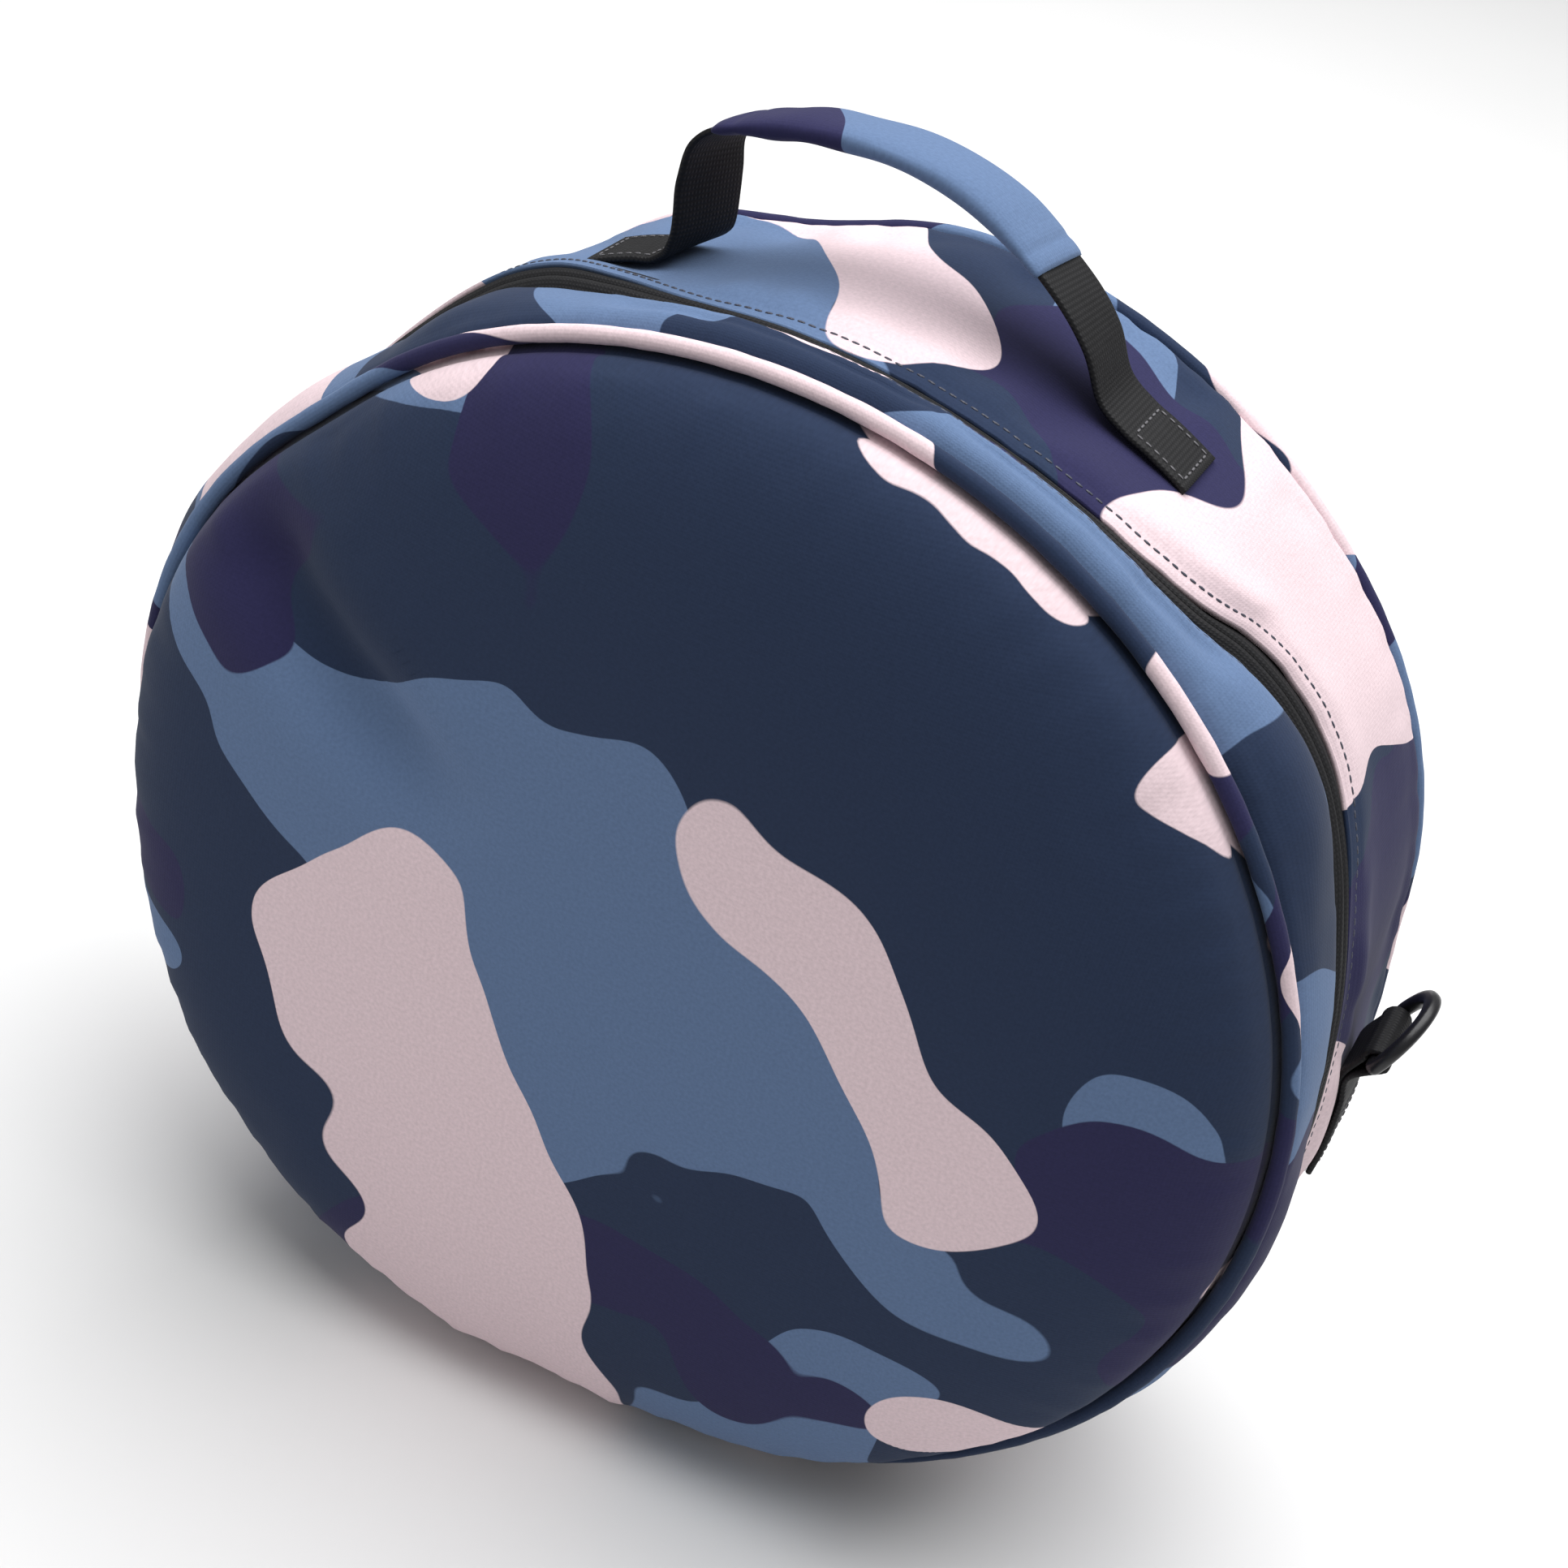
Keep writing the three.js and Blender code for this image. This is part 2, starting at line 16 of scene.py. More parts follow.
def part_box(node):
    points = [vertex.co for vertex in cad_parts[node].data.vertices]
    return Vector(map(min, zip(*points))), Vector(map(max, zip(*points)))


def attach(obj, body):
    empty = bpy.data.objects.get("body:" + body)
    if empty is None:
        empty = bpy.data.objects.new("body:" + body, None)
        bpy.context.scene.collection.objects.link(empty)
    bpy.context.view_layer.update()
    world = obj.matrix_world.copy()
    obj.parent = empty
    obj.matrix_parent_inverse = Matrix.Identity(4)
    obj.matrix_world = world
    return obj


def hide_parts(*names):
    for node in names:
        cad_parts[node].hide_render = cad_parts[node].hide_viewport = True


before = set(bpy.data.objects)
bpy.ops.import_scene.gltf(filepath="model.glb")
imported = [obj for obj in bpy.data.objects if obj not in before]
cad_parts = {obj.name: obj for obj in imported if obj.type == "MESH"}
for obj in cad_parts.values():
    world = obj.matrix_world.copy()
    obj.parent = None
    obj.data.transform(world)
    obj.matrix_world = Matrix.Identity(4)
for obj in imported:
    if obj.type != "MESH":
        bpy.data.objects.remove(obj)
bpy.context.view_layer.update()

# Sizes of the body
MM = 0.001
PIPING_RADIUS = 178.0
PIPING_BEAD = 2.5
DEPTH = 118.0
PILLOW_HEIGHT = 36.0
PILLOW_SQUARENESS = 4.5
SWELL = 0.58
SWELL_ANGLE = np.radians(-128)
DENT_ANGLE = np.radians(-58)
DENT_DEPTH = 8.0
DENT_WIDTH = 15.0
BACK_CROWN = 10.0
PADDING = 5.0
AXIS_HEIGHT = 176.0
OUTER = PIPING_RADIUS + PIPING_BEAD
PANEL_RADIUS = 175.2
PANEL_EDGE = 2.35
PANEL_RIM = 176.4
BAND_FRONT = 2.8
BAND_EDGE = 178.0
BAND_PUFF = 0.24
GUSSET_REAR = DEPTH - BAND_FRONT
SEAM_GAP = 0.3

# Unevenness of the sewn cloth: gathers beside a seam, slow swells between seams, the pinch beside the
# piping, and the groove and inset of a line of stitches
PANEL_GATHER = 0.5
BAND_GATHER = 0.55
BAND_SLACK = 0.7
GUSSET_GATHER = 0.5
GUSSET_SLACK = 0.8
SEAM_PINCH = 1.8
STITCH_GROOVE = 0.7
STITCH_INSET = 4.0

# Sizes of the zip
TAPE_WIDTH = 13.0
TAPE_OUTER = 176.4
TAPE_THICKNESS = 1.2
ZIP_END = np.radians(150)
ZIP_ARCH = 1.8
ZIP_RIDGE = 0.7
LIP_RISE = 1.5
COIL_PITCH = 2.4
COIL_HALF_WIDTH = 2.3
COIL_HALF_HEIGHT = 1.1
COIL_DROP = 1.6
SLIDER_ANGLE = np.radians(-138)
SLIDER_HALF_LENGTH = 6.0
SLIDER_HALF_WIDTH = 3.1
SLIDER_TAPER = 0.7
SLIDER_HALF_HEIGHT = 1.5
SLIDER_MIDDLE = 1.6
SLIDER_GAP = 0.4
PULL_MIDDLE = 16.0
PULL_OUTSIDE = (13.0, 3.4)
PULL_INSIDE = (10.6, 1.5)
PULL_HALF_THICKNESS = 0.8
PULL_HEIGHT = 3.4
PULL_DROP = 2.2

# Sizes of the webbing and the rings
WEBBING_WIDTH = 24.0
WEBBING_THICKNESS = 1.8
WEBBING_SETBACK = 70.0
FOOT_GAP = 0.45
GRIP_WIDTH = 27.0
GRIP_THICKNESS = 7.6
GRIP_END_THICKNESS = 5.2
GRIP_SHARES = (0.285, 0.715)
GRIP_PASSAGE = (12.3, 1.2)
TAB_ANGLES = (98.5, 87.0)
TAB_EYE = 3.44
RING_BAR = (187.0, 18.5)
RING_LEAN = np.radians(27)
RING_HALF_WIDTH = 17.5
RING_INSIDE = 12.6
RING_BAR_HALF = 2.0

# Where the zip runs: angle in degrees, set-back of the band's lip, set-back of the gusset's lip
ZIP_ROWS = (
    (-180, 34, 44), (-110, 36, 46), (-70, 42, 54), (-44, 46, 60), (-32, 42, 54), (-23, 32, 42),
    (-13, 24, 30.5), (0, 20.5, 25.5), (14, 19.5, 23.5), (25, 21, 26), (32, 22.5, 30), (37, 26, 37),
    (42, 34, 49), (48, 41, 57), (56, 44, 60), (63, 41, 55), (70, 38, 47), (90, 35, 45), (180, 34, 44),
)

# How far the stiff zip lifts the gusset's lip: angle in degrees, mm. The band's lip follows by a share
LIFT_ROWS = (
    (-180, 0), (-80, 0), (-60, 5), (-45, 9.5), (-38, 9), (-32, 7), (-26, 5), (-20, 3.5), (-13, 2),
    (-5, 1), (2, 0), (45, 0), (58, 1), (70, 1.5), (82, 1.5), (95, 1), (110, 0), (180, 0),
)
BAND_LIFT = 0.3

# How full the band's puff is: angle in degrees, share
PUFF_ROWS = (
    (-180, 1), (-75, 1), (-55, 0.7), (-42, 0.55), (-32, 0.65), (-20, 0.9), (-8, 1),
    (40, 1), (50, 0.85), (60, 0.55), (70, 0.42), (82, 0.42), (92, 0.6), (104, 0.95), (115, 1), (180, 1),
)

# Where the soft wall stands out of the round or sinks in: angle and spread in degrees, then mm at the
# front and mm at the rear
SOFT_ROWS = (
    (-78, 18, 2.5, 0), (-47, 11, -3, 0), (-45, 14, 0, -6), (-16, 11, 0, -8), (36, 16, 0, 0.8),
    (58, 14, 0, 2.2), (84, 9, 0, -3), (121, 10, 0.5, -2), (151, 12, 0.5, -4), (169, 10, -4.5, -1.5),
)

# Front band: share of its width, share of its puff, thickness
BAND_ROWS = (
    (0, 0, 4), (0.1, 0.45, 5), (0.28, 0.87, 5), (0.5, 1, 5), (0.72, 0.85, 5), (0.9, 0.45, 3.5),
    (1, 0.1, 1.2),
)

# Rear gusset: share of its depth, drop of its outer face, thickness
GUSSET_ROWS = (
    (0, 2.2, 1.5), (0.05, 0.5, 3), (0.16, 0, 3.7), (0.25, 0, 5), (0.88, 0, 5), (0.97, 0.3, 5),
    (1, 1.6, 4),
)

# Middle line of the handle's strap: angles of its feet on the wall, then x and z about the axis
HANDLE_FOOT_ANGLES = (29.3, 27, 24.7, 22.4)
HANDLE_ROWS = (
    (-61, 172), (-61.5, 189), (-60.5, 200.5), (-51, 207.5), (-26, 214),
    (0, 214.8), (22, 209), (42, 197), (54, 185.8), (61, 174),
)

# How the loose strap leans, per mm of its width: shift to the right at the left fold, at the left and
# at the right, then drop towards the back at the left and at the right
HANDLE_TWIST = (0.3, 0.06, 0.1)
HANDLE_TILT = (0.12, 0.06)

# Heights about the strap's first free point: how far below it the strap leaves the wall, between which
# two it takes up its lean, and between which two it loses the fold
HANDLE_FOLD = 9.0
HANDLE_RISE = (4.0, 30.0)
HANDLE_UNFOLD = (12.0, 40.0)

piping_low, piping_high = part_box("front_piping")
FRONT_Y = (piping_low.y + piping_high.y) / 2 / MM


# Shapes as functions

def spots(x, setback, z):
    """Points in the part's frame, in metres, from millimetres about the bag's axis."""
    x, setback, z = np.broadcast_arrays(x, setback, z)
    return np.stack([x, setback + FRONT_Y, z + AXIS_HEIGHT], axis=-1) * MM


def smooth(value, start, end):
    """Smooth step: 0 up to start, 1 from end on."""
    share = np.clip((value - start) / (end - start), 0, 1)
    return share * share * (3 - 2 * share)


def through(rows, column, at):
    """Cubic through a table's rows, each slope being the mean of the straight ones to its neighbours."""
    where = np.array([row[0] for row in rows], float)
    value = np.array([row[column] for row in rows], float)
    straight = np.diff(value) / np.diff(where)
    slope = np.concatenate([straight[:1], (straight[1:] + straight[:-1]) / 2, straight[-1:]])
    left = np.clip(np.searchsorted(where, at, side="right") - 1, 0, len(where) - 2)
    width = where[left + 1] - where[left]
    t = (at - where[left]) / width
    begin = (2 * t**3 - 3 * t**2 + 1) * value[left] + (t**3 - 2 * t**2 + t) * width * slope[left]
    return begin + (3 * t**2 - 2 * t**3) * value[left + 1] + (t**3 - t**2) * width * slope[left + 1]


def squared_off(value, power):
    """A sine or cosine bent so that a circle becomes a superellipse, squarer for a smaller power."""
    return np.sign(value) * np.abs(value) ** power


def lengths(line):
    """Length along a line of points up to each of them."""
    steps = np.linalg.norm(np.diff(line, axis=0), axis=-1)
    return np.concatenate([[0.0], np.cumsum(steps)])


def at_lengths(at, run, values):
    """Rows of values given at the lengths run along a line, read between them at other lengths."""
    return np.stack([np.interp(at, run, column) for column in values.T], axis=1)


def signed(angle):
    """The same angle between minus and plus half a turn."""
    return np.arctan2(np.sin(angle), np.cos(angle))


def zip_edges(angle):
    """Set-backs of the band's lip and of the gusset's lip."""
    degrees = np.degrees(signed(angle))
    return through(ZIP_ROWS, 1, degrees), through(ZIP_ROWS, 2, degrees)


def zip_lift(angle):
    """How far the gusset's lip stands above its plain radius."""
    return np.maximum(through(LIFT_ROWS, 1, np.degrees(signed(angle))), 0)


def off_bottom(angle):
    """How far an angle is from the bottom, in radians."""
    return np.arccos(np.clip(-np.cos(angle), -1, 1))


def squat(angle, setback):
    """Share of the round radius that the soft wall has: one bell curve per row of SOFT_ROWS, and a flat
    underside."""
    rear = setback / DEPTH
    soft = 0.0
    for middle, spread, at_front, at_rear in SOFT_ROWS:
        aside = signed(angle - np.radians(middle)) / np.radians(spread)
        soft = soft + (at_front + (at_rear - at_front) * rear) * np.exp(-aside * aside)
    off = off_bottom(angle)
    pressed = AXIS_HEIGHT / (OUTER * np.maximum(np.cos(off), 0.1))
    on_floor = off < np.arccos(AXIS_HEIGHT / OUTER)
    return np.where(on_floor, np.minimum(pressed, 1 + soft / OUTER), 1 + soft / OUTER)


def wall(radius, angle, setback):
    """Points of the side wall at a radius, an angle and a set-back."""
    kept = radius * squat(angle, setback)
    return spots(kept * np.sin(angle), setback, kept * np.cos(angle))


def ripple(angle, seed):
    """Uneven gathers round the bag, 8 to 20 mm long: a sum of sines that closes after a full turn."""
    return (
        0.45 * np.sin(58 * angle + 1.3 * seed)
        + 0.35 * np.sin(83 * angle + 2.1 * seed + 2 * np.sin(5 * angle + seed))
        + 0.25 * np.sin(131 * angle + 0.7 * seed)
    )


def slack(angle, seed):
    """Slow swells of the padded wall, 65 to 190 mm long: a sum of sines that closes after a full turn."""
    return (
        0.5 * np.sin(6 * angle + seed)
        + 0.4 * np.sin(11 * angle + 2.3 * seed)
        + 0.3 * np.sin(17 * angle + 3.1 * seed)
    )


def crown(share):
    """Height of a pillow of unit crown at a share of its radius."""
    return np.sqrt(np.maximum(1 - share**PILLOW_SQUARENESS, 0))


def front_height(share, angle):
    """Height of the front panel: a pillow, fuller at its lower left shoulder, less one radial dent that
    fades out at both ends."""
    low_left = np.maximum(0, np.cos(angle - SWELL_ANGLE)) ** 3
    swell = 1 + SWELL * share**4 * low_left
    from_dent = angle - DENT_ANGLE
    aside = share * PANEL_RADIUS * np.sin(from_dent) / DENT_WIDTH
    reach = smooth(share, 0.3, 0.6) * (1 - smooth(share, 0.85, 1)) * (np.cos(from_dent) > 0)
    return PILLOW_HEIGHT * crown(share) * swell - DENT_DEPTH * reach * np.exp(-aside * aside)


def back_height(share, angle):
    """Height of the back panel: a low pillow, the same at every angle."""
    return BACK_CROWN * crown(share)


# Meshes from grids

def put(name, points, quads, uv, material, nodes=(), slot=None, body="bag", caps=()):
    """A mesh piece from points, quads and one uv pair per quad corner. It rides on a body and stands for
    CAD nodes; caps are extra faces that close it."""
    faces = quads.tolist() + [list(map(int, cap)) for cap in caps]
    mesh = bpy.data.meshes.new(name)
    mesh.from_pydata(points.reshape(-1, 3).tolist(), [], faces)
    flat = np.concatenate([uv.reshape(-1, 2)] + [np.zeros((len(cap), 2)) for cap in caps])
    mesh.uv_layers.new(name="flat").data.foreach_set("uv", flat.astype(np.float32).ravel())
    mesh.polygons.foreach_set("use_smooth", np.ones(len(faces), bool))
    shell = bmesh.new()
    shell.from_mesh(mesh)
    bmesh.ops.recalc_face_normals(shell, faces=shell.faces)
    shell.to_mesh(mesh)
    shell.free()
    mesh.materials.append(material)
    piece = bpy.data.objects.new(name if not nodes else f"{name}_look", mesh)
    bpy.context.scene.collection.objects.link(piece)
    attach(piece, body)
    if nodes:
        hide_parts(*nodes)
    return piece


def quads_of(rows, columns, wrap_rows, wrap_columns):
    """Row and column numbers of the four corners of each quad of a grid, not yet wrapped."""
    along = np.arange(rows if wrap_rows else rows - 1)
    around = np.arange(columns if wrap_columns else columns - 1)
    row, column = (corner.ravel() for corner in np.meshgrid(along, around, indexing="ij"))
    return np.stack([row, row, row + 1, row + 1], 1), np.stack([column, column + 1, column + 1, column], 1)


def grid_piece(name, points, cut, material, wrap_rows=False, wrap_columns=True, **facts):
    """A piece from a grid of points. Its uv is the cloth laid flat, in metres: length along the first
    column, length round the first row, moved to its own place on the printed cloth by cut. Open ends of a
    tube are closed."""
    rows, columns = points.shape[:2]
    row, column = quads_of(rows, columns, wrap_rows, wrap_columns)
    quads = (row % rows) * columns + column % columns
    along = lengths(np.concatenate([points[:, 0], points[:1, 0]]))
    around = lengths(np.concatenate([points[0], points[0, :1]]))
    uv = np.stack([along[row], around[column]], axis=-1) + np.array(cut)
    caps = ()
    if wrap_columns and not wrap_rows:
        caps = (np.arange(columns), np.arange(columns) + (rows - 1) * columns)
    return put(name, points, quads, uv, material, caps=caps, **facts)


def disc_piece(name, outer, inner, cut, material, **facts):
    """A closed round panel from two square grids pulled round: its outer and its inner face, joined at
    their rims."""
    count = outer.shape[0]
    index = np.arange(count * count).reshape(count, count)
    row, column = quads_of(count, count, False, False)
    face = row * count + column
    rim = np.concatenate([index[0, :-1], index[:-1, -1], index[-1, :0:-1], index[:0:-1, 0]])
    following = np.roll(rim, -1)
    behind = count * count
    edge = np.stack([rim, following, following + behind, rim + behind], axis=1)
    quads = np.concatenate([face, face + behind, edge])
    points = np.concatenate([outer.reshape(-1, 3), inner.reshape(-1, 3)])
    uv = points[quads][:, :, [0, 2]] + np.array(cut)
    return put(name, points, quads, uv, material, **facts)


def disc_grid(count):
    """Shares of the radius and angles of a square grid pulled round: each square ring of points becomes a
    circle, closer together towards the rim. The count is even, so no point falls on the middle."""
    line = np.linspace(-1, 1, count)
    u, v = np.meshgrid(line, line, indexing="ij")
    ring = np.maximum(np.abs(u), np.abs(v))
    upright = np.pi / 4 * u / v + np.where(v > 0, 0, np.pi)
    sideways = np.pi / 2 * np.sign(u) - np.pi / 4 * v / u
    return np.sin(ring * np.pi / 2), np.where(np.abs(v) >= np.abs(u), upright, sideways)


def evened(values, edges, held, rounds):
    """Values on a mesh's points, drawn towards the mean of their neighbours in each round. Held points
    keep zero."""
    first, second = edges.T
    neighbours = np.bincount(edges.ravel(), minlength=len(values))
    for _ in range(rounds):
        total = np.bincount(first, values[second], len(values))
        total += np.bincount(second, values[first], len(values))
        values = np.where(held, 0, (values + total / neighbours) / 2)
    return values


SETTLE_FRAMES = 20
EVENING_ROUNDS = 24


def settle(piece, held, loose, cap):
    """Lets a padded cover relax as cloth: points held stay and the others are drawn back to their place by
    the share loose, while the foam's push and a little spare cloth raise soft unevenness. Only the evened
    move square to the cloth is kept, about its mean, scaled so that its largest is cap millimetres."""
    count = len(piece.data.vertices)
    before = np.empty(count * 3)
    normal = np.empty(count * 3)
    edges = np.empty(len(piece.data.edges) * 2, int)
    piece.data.vertices.foreach_get("co", before)
    piece.data.vertex_normals.foreach_get("vector", normal)
    piece.data.edges.foreach_get("vertices", edges)
    group = piece.vertex_groups.new(name="held")
    group.add(np.flatnonzero(held).tolist(), 1.0, "REPLACE")
    group.add(np.flatnonzero(~held).tolist(), loose, "REPLACE")
    cloth = piece.modifiers.new("settle", "CLOTH")
    rules = cloth.settings
    rules.quality = 4
    rules.mass = 0.3
    rules.tension_stiffness = 25
    rules.compression_stiffness = 25
    rules.shear_stiffness = 12
    rules.bending_stiffness = 8
    rules.shrink_min = -0.02
    rules.use_pressure = True
    rules.uniform_pressure_force = 4
    rules.vertex_group_mass = "held"
    rules.pin_stiffness = 1
    rules.effector_weights.gravity = 0
    cloth.collision_settings.use_collision = False
    cloth.point_cache.frame_start = 1
    cloth.point_cache.frame_end = SETTLE_FRAMES
    for step in range(1, SETTLE_FRAMES + 1):
        bpy.context.scene.frame_set(step)
    shaped = piece.evaluated_get(bpy.context.evaluated_depsgraph_get())
    after = np.empty(count * 3)
    shaped.data.vertices.foreach_get("co", after)
    normal = normal.reshape(-1, 3)
    out = ((after - before).reshape(-1, 3) * normal).sum(axis=1)
    about_mean = np.where(held, 0, out - out[~held].mean())
    out = evened(about_mean, edges.reshape(-1, 2), held, EVENING_ROUNDS)
    out *= cap * MM / max(np.abs(out).max(), 1e-9)
    piece.modifiers.remove(cloth)
    piece.vertex_groups.remove(group)
    piece.data.vertices.foreach_set("co", before + (normal * out[:, None]).ravel())
    piece.data.update()
    bpy.context.scene.frame_set(1)


# Materials

WAVE = 2 * np.pi / 20  # a wave texture of scale 1 repeats after this length


def linear(code):
    """Linear colour from an sRGB hex code."""
    parts = np.array([int(code[start:start + 2], 16) for start in (1, 3, 5)]) / 255
    return (*np.where(parts <= 0.04045, parts / 12.92, ((parts + 0.055) / 1.055) ** 2.4), 1.0)


def add(tree, kind, inputs=None, **settings):
    """One shader node with its settings; kind is its type without the opening ShaderNode. An input is a
    plain value or another node's output socket."""
    node = tree.nodes.new(f"ShaderNode{kind}")
    for name, value in settings.items():
        setattr(node, name, value)
    for socket, value in (inputs or {}).items():
        if isinstance(value, bpy.types.NodeSocket):
            tree.links.new(value, node.inputs[socket])
        else:
            node.inputs[socket].default_value = value
    return node


def new_material(name):
    """An empty material and its principled shader."""
    material = bpy.data.materials.new(name)
    material.use_nodes = True
    return material, material.node_tree, material.node_tree.nodes["Principled BSDF"]


def set_inputs(shader, **values):
    """Plain values on a shader's own sockets, named with underscores for spaces."""
    for name, value in values.items():
        shader.inputs[name.replace("_", " ")].default_value = value


def printed_polyester():
    """Plain-woven polyester, printed with a camouflage of four inks. It gives the eye large, crisp, wavy
    patches in pale pink, steel blue, navy and purple, a fine matt weave and a faint sheen."""
    material, tree, shader = new_material("polyester_cloth_plain_woven_printed_camouflage")
    place = add(tree, "UVMap", uv_map="flat").outputs["UV"]
    bent = place
    for scale, reach in CAMOUFLAGE_WARPS:
        drift = add(tree, "TexNoise", {"Vector": place, "Scale": scale, "Detail": 0.0})
        middle = {0: drift.outputs["Color"], 1: (0.5, 0.5, 0.5)}
        centred = add(tree, "VectorMath", middle, operation="SUBTRACT")
        move = add(tree, "VectorMath", {0: centred.outputs[0], "Scale": reach}, operation="SCALE")
        bent = add(tree, "VectorMath", {0: bent, 1: move.outputs[0]}, operation="ADD").outputs[0]
    colour = linear(NAVY_INK)
    for ink, shift, scale, level in CAMOUFLAGE_LAYERS:
        moved = add(tree, "VectorMath", {0: bent, 1: shift}, operation="ADD")
        blobs = add(
            tree, "TexNoise",
            {"Vector": moved.outputs[0], "Scale": scale, "Detail": 0.4, "Roughness": 0.3, "Distortion": 0.3},
        )
        mask = add(
            tree, "MapRange",
            {"Value": blobs.outputs["Fac"], "From Min": level, "From Max": level + 0.002},
        )
        layer = {0: mask.outputs[0], 6: colour, 7: linear(ink)}
        colour = add(tree, "Mix", layer, data_type="RGBA").outputs[2]
    grain = add(tree, "TexNoise", {"Vector": place, "Scale": 900.0, "Detail": 2.0})
    shade = add(
        tree, "MapRange",
        {"Value": grain.outputs["Fac"], "From Min": 0.3, "From Max": 0.7, "To Min": 0.93, "To Max": 1.07},
    )
    tinted = add(tree, "VectorMath", {0: colour, "Scale": shade.outputs[0]}, operation="SCALE")
    tree.links.new(tinted.outputs[0], shader.inputs["Base Color"])
    # Real threads are 0.4 mm apart: drawn 1 mm apart so that they show
    threads = {"Vector": place, "Scale": WAVE / 0.001}
    warp = add(tree, "TexWave", threads, bands_direction="X")
    weft = add(tree, "TexWave", threads, bands_direction="Y")
    crossing = {0: warp.outputs["Fac"], 1: weft.outputs["Fac"]}
    weave = add(tree, "Math", crossing, operation="MULTIPLY")
    rumple = add(tree, "TexNoise", {"Vector": place, "Scale": 120.0, "Detail": 2.0})
    soft = add(tree, "Bump", {"Height": rumple.outputs["Fac"], "Strength": 0.25, "Distance": 0.0006})
    fine = add(
        tree, "Bump",
        {"Height": weave.outputs[0], "Strength": 0.35, "Distance": 0.0001, "Normal": soft.outputs[0]},
    )
    tree.links.new(fine.outputs[0], shader.inputs["Normal"])
    set_inputs(shader, Roughness=0.88, IOR=1.5, Specular_IOR_Level=0.12)
    set_inputs(shader, Sheen_Weight=0.06, Sheen_Roughness=0.5)
    return material


def woven_band(name, code, across_pitch, along_pitch, depth, roughness):
    """A black woven band. It gives the eye fine ribs across its length, broken by its lengthwise yarns. Its
    colour carries a painted highlight on the weave's crossings and painted shade between them, plus a random
    tone.
    """
    material, tree, shader = new_material(name)
    place = add(tree, "UVMap", uv_map="flat").outputs["UV"]
    ribs = add(tree, "TexWave", {"Vector": place, "Scale": WAVE / across_pitch}, bands_direction="X")
    yarns = add(tree, "TexWave", {"Vector": place, "Scale": WAVE / along_pitch}, bands_direction="Y")
    crossing = {0: ribs.outputs["Fac"], 1: yarns.outputs["Fac"]}
    weave = add(tree, "Math", crossing, operation="MULTIPLY")
    wear = add(tree, "TexNoise", {"Vector": place, "Scale": 300.0, "Detail": 2.0})
    # The weave lightens the colour on its crossings as a painted highlight and darkens it between them as
    # painted shade; the noise adds a random tone
    lift = add(tree, "Math", {0: weave.outputs[0], 1: wear.outputs["Fac"]}, operation="ADD")
    shade = add(
        tree, "MapRange",
        {"Value": lift.outputs[0], "From Min": 0.2, "From Max": 1.4, "To Min": 0.6, "To Max": 1.5},
    )
    colour = {0: linear(code)[:3], "Scale": shade.outputs[0]}
    tinted = add(tree, "VectorMath", colour, operation="SCALE")
    tree.links.new(tinted.outputs[0], shader.inputs["Base Color"])
    bump = add(tree, "Bump", {"Height": weave.outputs[0], "Strength": 0.8, "Distance": depth})
    tree.links.new(bump.outputs[0], shader.inputs["Normal"])
    set_inputs(shader, Roughness=roughness, IOR=1.49, Specular_IOR_Level=0.25)
    return material


def moulded_plastic():
    """Black acetal, injection moulded. It gives the eye a satin black with soft highlights and a fine
    moulded grain."""
    material, tree, shader = new_material("acetal_plastic_injection_moulded_black")
    place = add(tree, "TexCoord").outputs["Object"]
    grain = add(tree, "TexNoise", {"Vector": place, "Scale": 1500.0, "Detail": 2.0})
    gloss = add(tree, "MapRange", {"Value": grain.outputs["Fac"], "To Min": 0.26, "To Max": 0.42})
    tree.links.new(gloss.outputs[0], shader.inputs["Roughness"])
    bump = add(tree, "Bump", {"Height": grain.outputs["Fac"], "Strength": 0.15, "Distance": 0.0001})
    tree.links.new(bump.outputs[0], shader.inputs["Normal"])
    set_inputs(shader, Base_Color=linear("#17171a"), IOR=1.48)
    return material


def sewing_thread(name, code):
    """Polyester sewing thread, spun and twisted. It gives the eye small slanting ridges and a soft shine."""
    material, tree, shader = new_material(name)
    place = add(tree, "TexCoord").outputs["Object"]
    ply = {"Vector": place, "Scale": 700.0, "Distortion": 1.0}
    twist = add(tree, "TexWave", ply, bands_direction="DIAGONAL")
    bump = add(tree, "Bump", {"Height": twist.outputs["Fac"], "Strength": 0.5, "Distance": 0.0001})
    tree.links.new(bump.outputs[0], shader.inputs["Normal"])
    set_inputs(shader, Base_Color=linear(code), Roughness=0.55, IOR=1.5)
    return material


NAVY_INK = "#253149"
# How the blobs are bent out of the round: scale of the bending, reach in metres
CAMOUFLAGE_WARPS = ((11.0, 0.10), (25.0, 0.035))
# Blobs of the other inks, each over the ones before: ink, place, scale, level above which the ink lies
CAMOUFLAGE_LAYERS = (
    ("#5b7091", (0.31, 1.70, 0.0), 8.5, 0.545),
    ("#29284a", (2.45, 0.62, 0.0), 9.0, 0.575),
    ("#d9c4c9", (4.10, 3.33, 0.0), 7.5, 0.550),
)
CLOTH = printed_polyester()
WEBBING = woven_band("polypropylene_webbing_woven_black", "#141416", 0.0014, 0.0013, 0.0002, 0.65)
TAPE = woven_band("polyester_zip_tape_woven_black", "#1a1a1c", 0.0015, 0.0011, 0.0002, 0.7)
PLASTIC = moulded_plastic()
DARK_THREAD = sewing_thread("polyester_thread_spun_dark_grey", "#3c3f4c")
GREY_THREAD = sewing_thread("polyester_thread_spun_grey", "#5a595d")


# Round panels

PANEL_POINTS = 120


